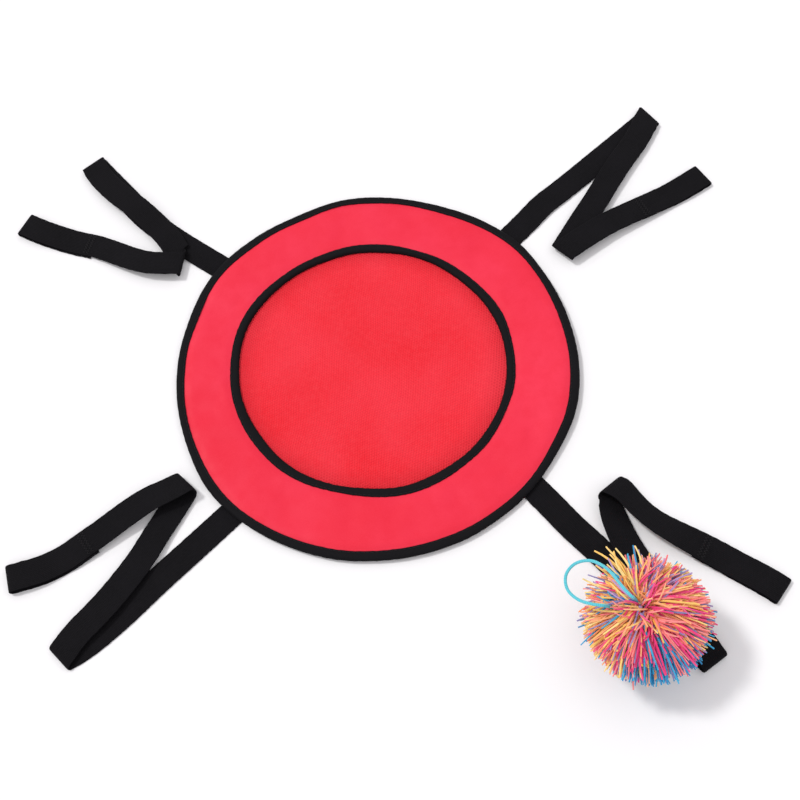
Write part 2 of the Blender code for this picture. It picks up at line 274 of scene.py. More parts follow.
# ------------------------------------------------------------------ materials
class Graph:
    """A material's node tree. Noise scales are per metre, bump distances in metres."""

    def __init__(self, name):
        self.mat = bpy.data.materials.new(name)
        self.mat.use_nodes = True
        self.tree = self.mat.node_tree

    def node(self, kind, **props):
        node = self.tree.nodes.new(kind)
        for key, value in props.items():
            setattr(node, key, value)
        return node

    def put(self, socket, value):
        """Links a socket, or sets a plain value or colour."""
        if isinstance(value, bpy.types.NodeSocket):
            self.tree.links.new(value, socket)
        elif isinstance(value, tuple) and len(value) == 3 and socket.type == "RGBA":
            socket.default_value = (*value, 1.0)
        else:
            socket.default_value = value

    def math(self, operation, a, b=0.0, c=0.0):
        node = self.node("ShaderNodeMath", operation=operation)
        for socket, value in zip(node.inputs, (a, b, c)):
            self.put(socket, value)
        return node.outputs[0]

    def times(self, a, b):
        return self.math("MULTIPLY", a, b)

    def plus(self, total, *terms):
        for term in terms:
            total = self.math("ADD", total, term)
        return total

    def sine(self, x, pitch, phase=0.0):
        """Sine of a length in mm with that pitch."""
        return self.math("SINE", self.math("MULTIPLY_ADD", x, TURN / pitch, phase))

    def uv(self):
        split = self.node("ShaderNodeSeparateXYZ")
        self.put(split.inputs[0], self.node("ShaderNodeUVMap", uv_map="UVMap").outputs[0])
        return split.outputs[0], split.outputs[1]

    def position(self):
        return self.node("ShaderNodeTexCoord").outputs["Object"]

    def attribute(self, name):
        return self.node("ShaderNodeAttribute", attribute_name=name).outputs["Fac"]

    def noise(self, position, scale, detail, rough):
        node = self.node("ShaderNodeTexNoise")
        self.put(node.inputs["Vector"], position)
        self.put(node.inputs["Scale"], scale)
        self.put(node.inputs["Detail"], detail)
        self.put(node.inputs["Roughness"], rough)
        return node.outputs[0]

    def mix(self, share, base, over):
        node = self.node("ShaderNodeMix", data_type="RGBA")
        for socket, value in ((0, share), (6, base), (7, over)):
            self.put(node.inputs[socket], value)
        return node.outputs[2]

    def span(self, value, within, to):
        node = self.node("ShaderNodeMapRange")
        for socket, number in zip(node.inputs, (value, *within, *to)):
            self.put(socket, number)
        return node.outputs[0]

    def layer(self, base, over, by, within, share=(0.0, 1.0)):
        """Colour over on colour base, its share going with the value by."""
        return self.mix(self.span(by, within, share), base, over)

    def bump(self, height, strength, distance, below=None):
        node = self.node("ShaderNodeBump")
        self.put(node.inputs["Strength"], strength)
        self.put(node.inputs["Distance"], distance)
        self.put(node.inputs["Height"], height)
        if below is not None:
            self.put(node.inputs["Normal"], below)
        return node.outputs[0]

    def finish(self, colour, roughness, specular, normal=None, sheen=0.0, sheen_rough=0.4,
               sheen_tint=(1, 1, 1)):
        inputs = self.tree.nodes["Principled BSDF"].inputs
        self.put(inputs["Base Color"], colour)
        self.put(inputs["Roughness"], roughness)
        self.put(inputs["Specular IOR Level"], specular)
        if normal is not None:
            self.put(inputs["Normal"], normal)
        self.put(inputs["Sheen Weight"], sheen)
        self.put(inputs["Sheen Roughness"], sheen_rough)
        self.put(inputs["Sheen Tint"], sheen_tint)
        return self.mat


def neoprene_material():
    """Red jersey with a fine knit."""
    g = Graph("neoprene_jersey")
    u, v = g.uv()
    pos = g.position()
    broad = g.noise(pos, scale=11.0, detail=2.0, rough=0.5)
    mottle = g.noise(pos, scale=90.0, detail=4.0, rough=0.6)
    fine = g.noise(pos, scale=1900.0, detail=2.0, rough=0.6)
    colour = g.layer((0.790, 0.015, 0.043), (0.840, 0.027, 0.068), by=broad, within=(0.35, 0.68))
    colour = g.layer(colour, (0.77, 0.012, 0.034), by=mottle, within=(0.38, 0.66),
                     share=(0.0, 0.32))
    colour = g.layer(colour, (0.95, 0.060, 0.110), by=fine, within=(0.35, 0.7),
                     share=(0.0, 0.22))
    knit = g.times(g.sine(u, pitch=0.72), g.sine(v, pitch=0.58))
    height = g.plus(g.times(knit, 0.35), g.times(fine, 0.8))
    normal = g.bump(height, strength=0.22, distance=0.0001)
    normal = g.bump(mottle, strength=0.10, distance=0.0006, below=normal)
    return g.finish(colour, g.span(mottle, within=(0.3, 0.7), to=(0.50, 0.64)), specular=0.22,
                    normal=normal, sheen=0.05, sheen_rough=0.35, sheen_tint=(1.0, 0.62, 0.68))


def net_material():
    """Red knit, with painted shade in the dimples where the mesh's pit attribute is high."""
    g = Graph("net_knit")
    pos = g.position()
    depth = g.attribute("pit")
    broad = g.noise(pos, scale=16.0, detail=2.0, rough=0.5)
    fine = g.noise(pos, scale=2600.0, detail=2.0, rough=0.6)
    streak = g.noise(pos, scale=260.0, detail=2.0, rough=0.5)
    top = g.layer((0.83, 0.019, 0.034), (0.87, 0.034, 0.057), by=broad, within=(0.35, 0.68))
    top = g.layer(top, (0.92, 0.055, 0.074), by=streak, within=(0.4, 0.7), share=(0.0, 0.25))
    # painted shade: the dimple floors go towards this dark red by the pit attribute
    colour = g.mix(depth, top, (0.42, 0.004, 0.010))
    return g.finish(colour, g.span(fine, within=(0.3, 0.7), to=(0.55, 0.72)), specular=0.20,
                    normal=g.bump(fine, strength=0.35, distance=0.00012),
                    sheen=0.03, sheen_rough=0.4, sheen_tint=(1.0, 0.55, 0.5))


def tape_material():
    """Black grosgrain binding: fine ribs across the tape."""
    g = Graph("binding_grosgrain")
    u, v = g.uv()
    pos = g.position()
    jitter = g.noise(pos, scale=420.0, detail=2.0, rough=0.5)
    rib = g.sine(g.math("MULTIPLY_ADD", jitter, 0.35, u), pitch=0.85)
    across = g.sine(v, pitch=0.42)
    fibre = g.noise(pos, scale=3000.0, detail=2.0, rough=0.7)
    height = g.plus(g.times(rib, 0.5), g.times(g.times(rib, across), 0.22),
                    g.times(fibre, 0.5))
    shade = g.noise(pos, scale=60.0, detail=3.0, rough=0.6)
    # painted shade: the tape is darker between its ribs and lighter on them
    colour = g.layer((0.0030, 0.0028, 0.0036), (0.0085, 0.0080, 0.0095), by=rib,
                     within=(-1.0, 1.0))
    colour = g.layer(colour, (0.0110, 0.0104, 0.0120), by=shade, within=(0.35, 0.7),
                     share=(0.0, 0.5))
    return g.finish(colour, g.span(shade, within=(0.3, 0.7), to=(0.58, 0.78)), specular=0.075,
                    normal=g.bump(height, strength=0.55, distance=0.00012),
                    sheen=0.009, sheen_rough=0.5, sheen_tint=(0.72, 0.70, 0.78))


def elastic_material():
    """Black woven elastic: ribs along its length, each crossed by a staggered weave."""
    rib_pitch = RIB_PITCH
    g = Graph("elastic_webbing")
    u, v = g.uv()
    pos = g.position()
    row = g.math("FLOOR", g.math("DIVIDE", v, rib_pitch))
    stagger = g.times(g.math("FLOORED_MODULO", row, 2.0), math.pi)
    jitter = g.noise(pos, scale=300.0, detail=2.0, rough=0.5)
    cross = g.sine(u, pitch=1.05, phase=g.plus(stagger, g.times(jitter, 1.6)))
    rib = g.math("COSINE", g.times(v, TURN / rib_pitch))
    fibre = g.noise(pos, scale=2600.0, detail=2.0, rough=0.7)
    height = g.plus(g.times(cross, 0.42), g.times(rib, -0.35), g.times(fibre, 0.5))
    shade = g.noise(pos, scale=45.0, detail=3.0, rough=0.6)
    speck = g.noise(pos, scale=900.0, detail=2.0, rough=0.7)
    # painted shade: raised holds how far the weave stands up, so the colour below is darker where
    # the weave sinks and lighter where it stands; the specks are the yarn's own tone
    raised = g.plus(cross, g.times(rib, -0.8), g.times(speck, 3.0))
    colour = g.layer((0.0010, 0.0009, 0.0013), (0.0110, 0.0103, 0.0122), by=raised,
                     within=(-0.2, 3.2))
    colour = g.layer(colour, (0.0125, 0.0117, 0.0137), by=shade, within=(0.35, 0.7),
                     share=(0.0, 0.45))
    return g.finish(colour, g.span(shade, within=(0.3, 0.7), to=(0.66, 0.84)), specular=0.065,
                    normal=g.bump(height, strength=0.8, distance=0.00018),
                    sheen=0.008, sheen_rough=0.5, sheen_tint=(0.70, 0.70, 0.80))


def thread_material():
    """Black twisted thread."""
    g = Graph("sewing_thread")
    u, v = g.uv()
    pos = g.position()
    ply_pitch = 0.55
    ply = g.math("SINE", g.plus(g.times(u, TURN / ply_pitch), v))
    fuzz = g.noise(pos, scale=2500.0, detail=2.0, rough=0.6)
    # painted shade: the thread is darker in the grooves between its twisted plies
    colour = g.layer((0.006, 0.0056, 0.0068), (0.016, 0.015, 0.017), by=ply, within=(-1, 1))
    return g.finish(colour, roughness=0.55, specular=0.18,
                    normal=g.bump(g.plus(ply, fuzz), strength=0.5, distance=0.00008),
                    sheen=0.03, sheen_rough=0.4, sheen_tint=(0.8, 0.8, 0.9))


def cord_material():
    """Cyan cord: two sets of plies wound opposite ways."""
    g = Graph("braided_cord")
    u, v = g.uv()
    pos = g.position()
    plies = [g.math("SINE", g.math(way, g.times(u, TURN / BRAID_PITCH), g.times(v, BRAID_PLIES)))
             for way in ("ADD", "SUBTRACT")]
    braid = g.times(*plies)
    fuzz = g.noise(pos, scale=1800.0, detail=2.0, rough=0.6)
    # painted shade: the cord is darker in the grooves of its braid and lighter on its crests
    colour = g.layer((0.045, 0.46, 0.56), (0.12, 0.66, 0.76), by=braid, within=(-1, 1))
    colour = g.layer(colour, (0.32, 0.80, 0.86), by=fuzz, within=(0.4, 0.7), share=(0.0, 0.3))
    height = g.plus(braid, g.times(fuzz, 0.5))
    return g.finish(colour, roughness=0.5, specular=0.4,
                    normal=g.bump(height, strength=0.6, distance=0.00018),
                    sheen=0.2, sheen_rough=0.4, sheen_tint=(0.8, 1, 1))


def rubber_material(name, low, high):
    """Matte rubber between two tones, with a tint for each strand, and painted shade that darkens
    each strand towards the core.
    """
    g = Graph(name)
    pos = g.position()
    tint = g.attribute("tint")
    along = g.attribute("along")
    grain = g.noise(pos, scale=700.0, detail=3.0, rough=0.6)
    dusty = tuple(min(1.0, c * 1.15 + 0.04) for c in high)
    # painted shade: the strands darken towards the core, where they lie in shade inside the ball
    root = tuple(c * 0.70 for c in low)
    colour = g.mix(tint, low, high)
    colour = g.layer(colour, dusty, by=grain, within=(0.4, 0.72), share=(0.0, 0.22))
    colour = g.layer(colour, root, by=along, within=(0.0, 0.40), share=(0.40, 0.0))
    return g.finish(colour, g.span(grain, within=(0.3, 0.7), to=(0.42, 0.60)), specular=0.35,
                    normal=g.bump(grain, strength=0.25, distance=0.00015),
                    sheen=0.06, sheen_rough=0.5)


RIB_PITCH = 1.25                    # mm between the elastic's ribs
BRAID_PITCH = 2.2                   # mm of cord for a whole turn of its braid
BRAID_PLIES = 4.0

NEOPRENE = neoprene_material()
NET = net_material()
TAPE = tape_material()
ELASTIC = elastic_material()
THREAD = thread_material()
CORD = cord_material()

# ------------------------------------------------------------------ the disc's outlines
N_RING = 480
RING = np.linspace(0, TURN, N_RING, endpoint=False)


def sewn_edge(mean, harmonics, cut):
    """Radius in mm against angle of an uneven, hand-sewn edge. harmonics holds (waves per turn,
    cosine mm, sine mm); cut holds small departures in mm at even steps round the disc."""
    cut = np.array(cut)
    n = len(cut)

    def radius(angle):
        base = np.full_like(angle, mean)
        for waves, c, s in harmonics:
            base = base + c * np.cos(waves * angle) + s * np.sin(waves * angle)
        x = np.mod(angle / TURN * n, n)
        i = np.floor(x).astype(int)
        g = x - i
        p0, p1, p2, p3 = (cut[(i + q) % n] for q in (-1, 0, 1, 2))
        return base + 0.5 * (2 * p1 + (p2 - p0) * g + (2 * p0 - 5 * p1 + 4 * p2 - p3) * g ** 2
                             + (3 * p1 - p0 - 3 * p2 + p3) * g ** 3)
    return radius


EDGE_HARMONICS = [(1, 1.14, 1.1), (2, -.5, .44), (3, .66, 0), (4, -.67, .12),
                  (5, .18, -.06), (6, -.53, -.19), (7, 0, -.6), (8, .39, -.31)]
# the disc's outer edge
EDGE_OUT = sewn_edge(150.6, EDGE_HARMONICS, [
    -0.5, -0.4, -0.2, -0.4, -0.9, -1.5, -1.5, -1.3, -1.5, -1.6, -1.2, -0.8, -0.6, -0.5, -0.7,
    -0.9, -1.2, -1.2, -1.0, -0.9, -1.2, -1.5, -1.5, -1.1, -1.0, -1.3, -1.2, -1.1, -0.9, -0.9,
    -1.0, -1.0, -0.7, -0.2, 0.0, 0.0, -0.0, -0.1, -0.3, -0.4, -0.3, 0.1, 0.6, 0.6, 0.3, 0.0,
    -0.0, 0.2, 0.3, 0.5, 0.7, 0.8, 0.5, 0.3, 0.5, 0.7, 0.9, 1.0, 1.1, 0.7, 0.3, 0.4, 0.4, 0.3,
    0.3, 0.4, 0.8, 1.2, 1.0, 0.4, -0.2, -0.4])
# inner edge of the outer binding
EDGE_IN = sewn_edge(145.0, EDGE_HARMONICS, [
    -1.7, -1.6, -1.4, -1.4, -1.6, -2.0, -2.3, -2.4, -2.6, -2.7, -2.6, -2.2, -2.0, -1.7, -1.5,
    -1.4, -1.9, -2.2, -1.6, -1.3, -1.9, -2.6, -2.4, -2.0, -2.2, -2.8, -2.7, -2.2, -1.9, -2.0,
    -2.6, -2.6, -1.8, -0.9, -0.8, -0.8, -0.6, -0.5, -0.6, -0.8, -1.0, -1.0, -0.8, -0.6, -0.5,
    -0.6, -0.7, -0.6, -0.5, -0.4, -0.4, -0.4, -0.7, -0.9, -0.8, -0.6, -0.4, -0.2, -0.0, -0.1,
    -0.3, -0.1, 0.1, 0.2, -0.0, -0.3, -0.2, 0.1, -0.3, -1.1, -1.6, -1.7])
# outer edge of the window's binding
TRIM_OUT = sewn_edge(105.3, [(1, -1.27, 2.98), (2, .46, -1.03), (5, .43, .26), (6, -.3, 0)], [
    0.1, -0.0, 0.2, 0.5, 0.3, -0.0, -0.5, -0.7, -0.8, -0.7, -0.6, -0.7, -1.2, -1.7, -1.8, -1.7,
    -1.7, -1.7, -1.5, -1.5, -1.7, -1.8, -1.7, -1.5, -1.5, -1.7, -1.6, -1.4, -1.3, -1.1, -1.0,
    -0.9, -0.9, -0.8, -0.6, -0.2, 0.3, 0.6, 0.6, 0.5, 0.4, 0.3, 0.2, 0.4, 0.8, 1.3, 1.5, 1.6,
    1.4, 1.1, 1.0, 1.2, 1.5, 1.9, 2.3, 2.6, 2.6, 2.4, 2.0, 1.7, 1.3, 1.2, 1.4, 1.5, 1.2, 0.8,
    0.6, 0.7, 1.1, 1.2, 0.8, 0.4])
# the window's edge
WINDOW = sewn_edge(99.6, [(1, -1.13, 2.72), (2, .3, -.96), (4, -.08, -.34), (5, .37, .14)], [
    -0.6, -0.5, -0.3, -0.3, -0.4, -0.4, -0.6, -1.0, -1.2, -1.3, -1.3, -1.2, -1.3, -1.5, -1.6,
    -1.9, -2.0, -1.7, -1.3, -1.1, -1.3, -1.4, -1.3, -1.1, -1.2, -1.3, -1.5, -1.5, -1.4, -1.1,
    -0.9, -0.8, -0.9, -1.0, -1.1, -0.9, -0.6, -0.4, -0.4, -0.6, -0.9, -1.2, -1.2, -0.9, -0.6,
    -0.4, -0.1, -0.1, -0.1, -0.1, -0.1, -0.2, -0.2, 0.2, 0.7, 1.0, 0.9, 0.4, 0.0, -0.1, -0.2,
    0.1, 0.1, -0.0, -0.1, -0.2, -0.1, -0.1, -0.2, -0.3, -0.4, -0.6])

# how far the disc's edge stands off its flat shape: degrees from +X, mm
LIFT = [(-180, -.5), (-160, -.35), (-138.3, 0), (-115, .1), (-92, .45), (-70, .35), (-47.1, 0),
        (-25, 1.3), (0, 2.1), (20, 1.3), (40, 0), (65, -.5), (90, -.75), (113, -.4),
        (135.9, 0), (158, -.35), (180, -.5)]
LIFT_FROM, LIFT_OVER = 88.0, 62.0   # radius where the lift starts, and how far it takes to grow


def lift(x, y):
    azimuth, height = np.array(LIFT, float).T
    rise = np.interp(np.degrees(np.arctan2(y, x)), azimuth, height)
    return rise * ease((np.hypot(x, y) - LIFT_FROM) / LIFT_OVER)


def polar(r, z):
    """Points round the disc from radii and heights whose first axis goes with RING."""
    angle = RING.reshape(-1, *[1] * (r.ndim - 1))
    return np.stack([r * np.cos(angle), r * np.sin(angle), np.broadcast_to(z, r.shape)], -1)


def build_ring(name, points, mean_radius, section, material, sharp):
    """A piece that runs once round the disc; section gives its uv lengths."""
    along = np.arange(N_RING + 1) * (TURN * mean_radius / N_RING)
    around = path_length(np.vstack([section, section[:1]]))
    return build_sweep(name, points, along, around, material, sharp, closed=True)


# ------------------------------------------------------------------ the bindings
IN, OUT = 0, 1
# sections of the bindings: the edge measured from, mm outwards from it, z
EDGE_SECTION = [
    (IN, 0, 2.52), (IN, -.02, 2.85), (IN, .12, 3.05), (IN, .5, 3.10), (IN, .95, 3.02),
    (IN, 1.2, 2.97), (IN, 1.45, 3.02), (IN, 2.0, 3.14), (IN, 2.8, 3.18), (OUT, -2.0, 3.10),
    (OUT, -1.35, 2.92), (OUT, -.8, 2.62), (OUT, -.38, 2.2), (OUT, -.1, 1.7), (OUT, 0, 1.2),
    (OUT, -.1, .7), (OUT, -.38, .2), (OUT, -.8, -.16), (OUT, -1.35, -.38), (OUT, -2.0, -.48),
    (IN, 2.8, -.5), (IN, .12, -.5), (IN, 0, -.4), (IN, 0, -.02), (IN, 2.8, 0),
    (OUT, -1.9, .02), (OUT, -1.2, .2), (OUT, -.7, .62), (OUT, -.5, 1.2), (OUT, -.65, 1.72),
    (OUT, -1.15, 2.28), (OUT, -1.9, 2.55), (IN, 2.8, 2.6)]
TRIM_SECTION = [
    (OUT, 0, 2.52), (OUT, .02, 2.85), (OUT, -.12, 3.06), (OUT, -.5, 3.12), (OUT, -.95, 3.04),
    (OUT, -1.2, 2.98), (OUT, -1.45, 3.05), (OUT, -2.0, 3.2), (OUT, -2.8, 3.26),
    (OUT, -3.6, 3.2), (IN, 1.45, 3.02), (IN, .9, 2.7), (IN, .42, 2.2), (IN, .12, 1.5),
    (IN, 0, .8), (IN, .03, .2), (IN, .1, .04), (IN, .5, .04), (IN, .52, .8), (IN, .62, 1.45),
    (IN, .9, 2.0), (IN, 1.4, 2.4), (OUT, -3.6, 2.6), (OUT, -2.2, 2.62)]
UNDER_SECTION = [
    (OUT, 0, -.72), (OUT, .05, -.95), (OUT, -.1, -1.2), (OUT, -2.8, -1.22), (IN, .15, -1.2),
    (IN, 0, -.95), (IN, .05, -.72), (OUT, -2.8, -.7)]


def binding(name, inner, outer, section, seed, ripple, waver):
    """A tape round the disc. ripple is its unevenness in height, waver in radius, mm."""
    edges = np.stack([inner(RING), outer(RING)], -1)
    edge, offset, height = np.array(section, float).T
    base_r = edges[:, edge.astype(int)] + offset
    waves = 0.7 * ring_noise(seed, 40, 150)(RING) + 0.3 * ring_noise(seed + 11, 90, 230)(RING)
    z = height + ripple * ring_noise(seed + 5, 50, 170)(RING)[:, None]
    points = polar(base_r + waver * waves[:, None], z)
    points[..., 2] += lift(points[..., 0], points[..., 1])
    points[..., 2] = np.maximum(points[..., 2], GROUND + 0.03)
    return build_ring(name, points, float(base_r.mean()), np.stack([base_r[0], height], -1),
                      TAPE, sharp=40)


# ------------------------------------------------------------------ the foam ring
N_RADIAL = 26
FOAM_PRESSED = 2.42                 # z of the ring's upper side where a binding presses it
FOAM_RISE = 0.66                    # mm it stands higher between the bindings
FOAM_UNDER = 0.22                   # z of its underside
FOAM_MEAN_R = 125.0
PIN_MARGIN = 0.6                    # mm of free skin that is pinned beside each binding
CLOTH_FRAMES = 24
# rounded edges of the ring: mm beyond the last row, z
FOAM_OUTER_EDGE = [(.28, 2.1), (.4, 1.35), (.28, .55)]
FOAM_INNER_EDGE = [(-.22, .55), (-.3, 1.35), (-.22, 2.1)]


def settle_cloth(points, pinned):
    """Settles the skin as cloth pushed up by the foam, without gravity and with pinned rims."""
    n, k, _ = points.shape
    i = np.repeat(np.arange(n), k - 1)
    j = np.tile(np.arange(k - 1), n)
    i2 = (i + 1) % n
    faces = np.stack([i * k + j, i * k + j + 1, i2 * k + j + 1, i2 * k + j], -1)
    mesh = bpy.data.meshes.new("foam_cloth")
    mesh.from_pydata((points.reshape(-1, 3) * MM).tolist(), [], faces.tolist())
    ob = bpy.data.objects.new("foam_cloth", mesh)
    scene.collection.objects.link(ob)
    group = ob.vertex_groups.new(name="pin")
    group.add(np.nonzero(pinned.reshape(-1))[0].tolist(), 1.0, "REPLACE")
    cloth = ob.modifiers.new("settle", "CLOTH")
    settings = cloth.settings
    settings.quality = 7
    settings.mass = 0.25
    settings.vertex_group_mass = "pin"
    settings.tension_stiffness = 25
    settings.compression_stiffness = 25
    settings.shear_stiffness = 12
    settings.bending_stiffness = 6.0
    settings.shrink_min = -0.012
    settings.use_pressure = True
    settings.uniform_pressure_force = 1.6
    settings.effector_weights.gravity = 0.0
    settings.air_damping = 4.0
    cloth.collision_settings.use_collision = False
    cloth.point_cache.frame_start = 1
    cloth.point_cache.frame_end = CLOTH_FRAMES
    for f in range(1, CLOTH_FRAMES + 1):
        scene.frame_set(f)
    settled = ob.evaluated_get(bpy.context.evaluated_depsgraph_get()).data
    flat_points = np.zeros(len(settled.vertices) * 3, np.float32)
    settled.vertices.foreach_get("co", flat_points)
    bpy.data.objects.remove(ob, do_unlink=True)
    scene.frame_set(1)
    return flat_points.reshape(n, k, 3).astype(float) * 1000.0


def foam_skin():
    """Radii (ring, radial) of the ring's upper side, and its settled points."""
    inner, outer = WINDOW(RING) + 1.0, EDGE_OUT(RING) - 1.1
    r = inner[:, None] + (outer - inner)[:, None] * np.linspace(0, 1, N_RADIAL)[None, :]
    trim, edge = TRIM_OUT(RING)[:, None], EDGE_IN(RING)[:, None]
    # 0 under the bindings, 1 a few mm clear of them
    free = ease(np.minimum((r - trim) / 5.0, (edge - r) / 5.0) * 0.85 + 0.12)
    top = polar(r, 0.0)
    x, y = top[..., 0], top[..., 1]
    wave = 0.16 * field_noise(SEED + 4, 34, 90)(x, y) + 0.05 * field_noise(SEED + 5, 10, 26)(x, y)
    top[..., 2] = FOAM_PRESSED + FOAM_RISE * free + wave * free
    pinned = (r < trim + PIN_MARGIN) | (r > edge - PIN_MARGIN)
    most = np.array([0.5, 0.5, 0.9])
    shift = np.clip(np.nan_to_num(settle_cloth(top, pinned) - top), -most, most)
    for _ in range(14):         # fine creases ease out of the laminated foam
        shift = 0.25 * np.roll(shift, 1, 0) + 0.5 * shift + 0.25 * np.roll(shift, -1, 0)
    top = top + 0.5 * shift
    return r, top


def neoprene_ring():
    """Closed pad: upper side outwards, rounded edge, underside inwards, rounded edge."""
    r, top = foam_skin()
    rows = [top[:, j] for j in range(N_RADIAL)]
    rows += [polar(r[:, -1] + beyond, z) for beyond, z in FOAM_OUTER_EDGE]
    rows += [polar(r[:, j], FOAM_UNDER) for j in (*range(N_RADIAL - 1, 0, -3), 0)]
    rows += [polar(r[:, 0] + beyond, z) for beyond, z in FOAM_INNER_EDGE]
    points = np.stack(rows, 1)
    points[..., 2] += lift(points[..., 0], points[..., 1])
    return build_ring("neoprene_pad", points, FOAM_MEAN_R, points[0], NEOPRENE, sharp=55)


# ------------------------------------------------------------------ the net
NET_PITCH = 2.12                    # between dimples
NET_ROW = NET_PITCH * math.sqrt(3) / 2
NET_CORNER = NET_PITCH / math.sqrt(3)   # a cell's middle to its corner
NET_PIT = 0.60                      # size of a dimple's floor as a share of its cell
NET_PIT_DEPTH = 0.34
NET_THICK = 0.56
NET_CENTRE = (-1.2, 2.7)
NET_ANGLE = math.radians(19.0)
NET_REACH = 106.0
NET_UNDER_TRIM = 2.6                # mm it goes in past the window's edge


def net_cells():
    """Middles of the cells that the window needs."""
    rows = int(NET_REACH / NET_ROW) + 2
    columns = int(NET_REACH / NET_PITCH) + 2
    cells = np.array([(a * NET_PITCH + (NET_PITCH / 2 if b % 2 else 0.0), b * NET_ROW)
                      for b in range(-rows, rows + 1) for a in range(-columns, columns + 1)])
    c, s = math.cos(NET_ANGLE), math.sin(NET_ANGLE)
    x = c * cells[:, 0] - s * cells[:, 1] + NET_CENTRE[0]
    y = s * cells[:, 0] + c * cells[:, 1] + NET_CENTRE[1]
    keep = np.hypot(x, y) < WINDOW(np.arctan2(y, x)) + NET_UNDER_TRIM
    return x[keep], y[keep]


def merge_corners(corners):
    """Corners shared between cells: the separate points, and each cell's six indices."""
    source = corners.reshape(-1, 2)
    keys = np.round(corners / 0.02).astype(int).reshape(-1, 2).tolist()
    known, points, index = {}, [], []
    for q, (a, b) in enumerate(keys):
        near = ((a + da, b + db) for da, db in itertools.product((0, 1, -1), repeat=2))
        hit = next((known[key] for key in near if key in known), None)
        if hit is None:
            hit = known[(a, b)] = len(points)
            points.append(source[q])
        index.append(hit)
    return np.array(points), np.array(index).reshape(-1, 6).tolist()


def net_sheet():
    """A knit with closed hexagonal dimples, one sheet."""
    x, y = net_cells()
    angle = math.radians(30) + NET_ANGLE + np.arange(6) * math.pi / 3

    def hexagons(radius):
        return np.stack([x[:, None] + radius * np.cos(angle),
                         y[:, None] + radius * np.sin(angle)], -1)
    corners, cells = merge_corners(hexagons(NET_CORNER))
    n_top, n_pit = len(corners), 6 * len(x)
    warp_x, warp_y = field_noise(SEED + 21, 40, 120), field_noise(SEED + 22, 40, 120)
    sag = field_noise(SEED + 23, 60, 150)

    def place(plan, depth):
        px, py = plan.T
        px, py = px + 0.9 * warp_x(px, py), py + 0.9 * warp_y(px, py)
        return np.column_stack([px, py, 0.10 * sag(px, py) - depth])
    pits = place(hexagons(NET_PIT * NET_CORNER).reshape(-1, 2), NET_PIT_DEPTH)
    verts = np.vstack([place(corners, 0.0), pits, place(corners, NET_THICK)])
    bottom = n_top + n_pit
    faces, edge_use = [], {}
    for c, cell in enumerate(cells):
        pit = n_top + c * 6
        for e in range(6):
            a, b = cell[e], cell[(e + 1) % 6]
            faces.append((a, b, pit + (e + 1) % 6, pit + e))
            edge_use.setdefault((min(a, b), max(a, b)), []).append((a, b))
        faces.append(tuple(pit + e for e in range(6)))
        faces.append(tuple(bottom + cell[e] for e in range(5, -1, -1)))
    for use in edge_use.values():   # the sheet's rim
        if len(use) == 1:
            a, b = use[0]
            faces.append((b, a, bottom + a, bottom + b))
    # painted shade: the dimple floors are darker, for the shaded back of the knit, and darker
    # still towards the rim, where the binding shades the net
    from_centre = np.hypot(pits[:, 0] - NET_CENTRE[0], pits[:, 1] - NET_CENTRE[1])
    painted_pit_shade = np.zeros(len(verts))
    painted_pit_shade[n_top:bottom] = 0.07 + 0.42 * ease((from_centre - 82.0) / 18.0)
    return build("net_sheet", verts, faces, NET, sharp=75, attrs={"pit": painted_pit_shade})


# ------------------------------------------------------------------ the disc's stitching
STITCH, STITCH_GAP, STITCH_R = 2.5, 0.75, 0.23


def stitches(name, edge, offset, z, phase=0.0):
    """Lockstitch: separate short threads that dive into the tape at both ends."""
    stations = 7
    mean = float((edge(RING) + offset).mean())
    count = int(round(TURN * mean / (STITCH + STITCH_GAP)))
    jitter = np.random.default_rng(SEED + 31).uniform(-1, 1, (count, 3))
    s = np.linspace(-1, 1, stations)
    middle = TURN * (np.arange(count) + phase) / count + jitter[:, 0] * 0.0006
    half = STITCH * (1 + 0.05 * jitter[:, 1]) / mean / 2
    angle = middle[:, None] + half[:, None] * s
    r = edge(angle) + offset + 0.05 * jitter[:, 2, None] + 0.10 * s
    outwards = np.stack([np.cos(angle), np.sin(angle), np.zeros_like(angle)], -1)
    lines = outwards * r[..., None] + UP * (z + 0.20 * (1 - s ** 4) - 0.17)[:, None]
    lines[..., 2] += lift(lines[..., 0], lines[..., 1])
    radii = STITCH_R * (0.80 + 0.20 * (1 - s * s))
    return build_threads(name, lines, radii, outwards, UP * 0.85, STITCH / (stations - 1))


disc_pieces = [
    (neoprene_ring(), "neoprene_ring", "neoprene"),
    (net_sheet(), "mesh_net", "net"),
    (binding("edge_binding_tape", EDGE_IN, EDGE_OUT, EDGE_SECTION, SEED + 40,
             ripple=0.05, waver=0.10), "outer_binding", "binding_tape"),
    (binding("window_binding_tape", WINDOW, TRIM_OUT, TRIM_SECTION, SEED + 60,
             ripple=0.05, waver=0.12), "inner_binding_top", "binding_tape"),
    (binding("window_binding_under", WINDOW, TRIM_OUT, UNDER_SECTION, SEED + 80,
             ripple=0.02, waver=0.08), "inner_binding_bottom", "binding_tape"),
    (stitches("edge_stitching", EDGE_IN, offset=1.2, z=3.12), "outer_stitch", "black_thread"),
    (stitches("window_stitching", TRIM_OUT, offset=-1.2, z=3.14, phase=0.4),
     "inner_stitch", "black_thread"),
]
for ob, node, slot in disc_pieces:
    join(ob, "root", node)

# ------------------------------------------------------------------ the straps
# Each strap runs out from the pad, folds back over itself, folds out again and ends in a loop.
WIDTH, THICK = 20.0, 1.2
HALF = WIDTH / 2
ON_FLOOR = GROUND + THICK / 2       # z of the middle of elastic that lies on the floor
PIVOT_R = 152.5                     # distance from the origin of the pivot at the pad's edge
STEP = 1.9                          # between stations
LOOP_LEN = 58.0
SEAM_ROW_GAP = 3.1                  # between the two zigzag rows that close the loop
LEANING_HALF = 10.5                 # half width that a tilt is measured against

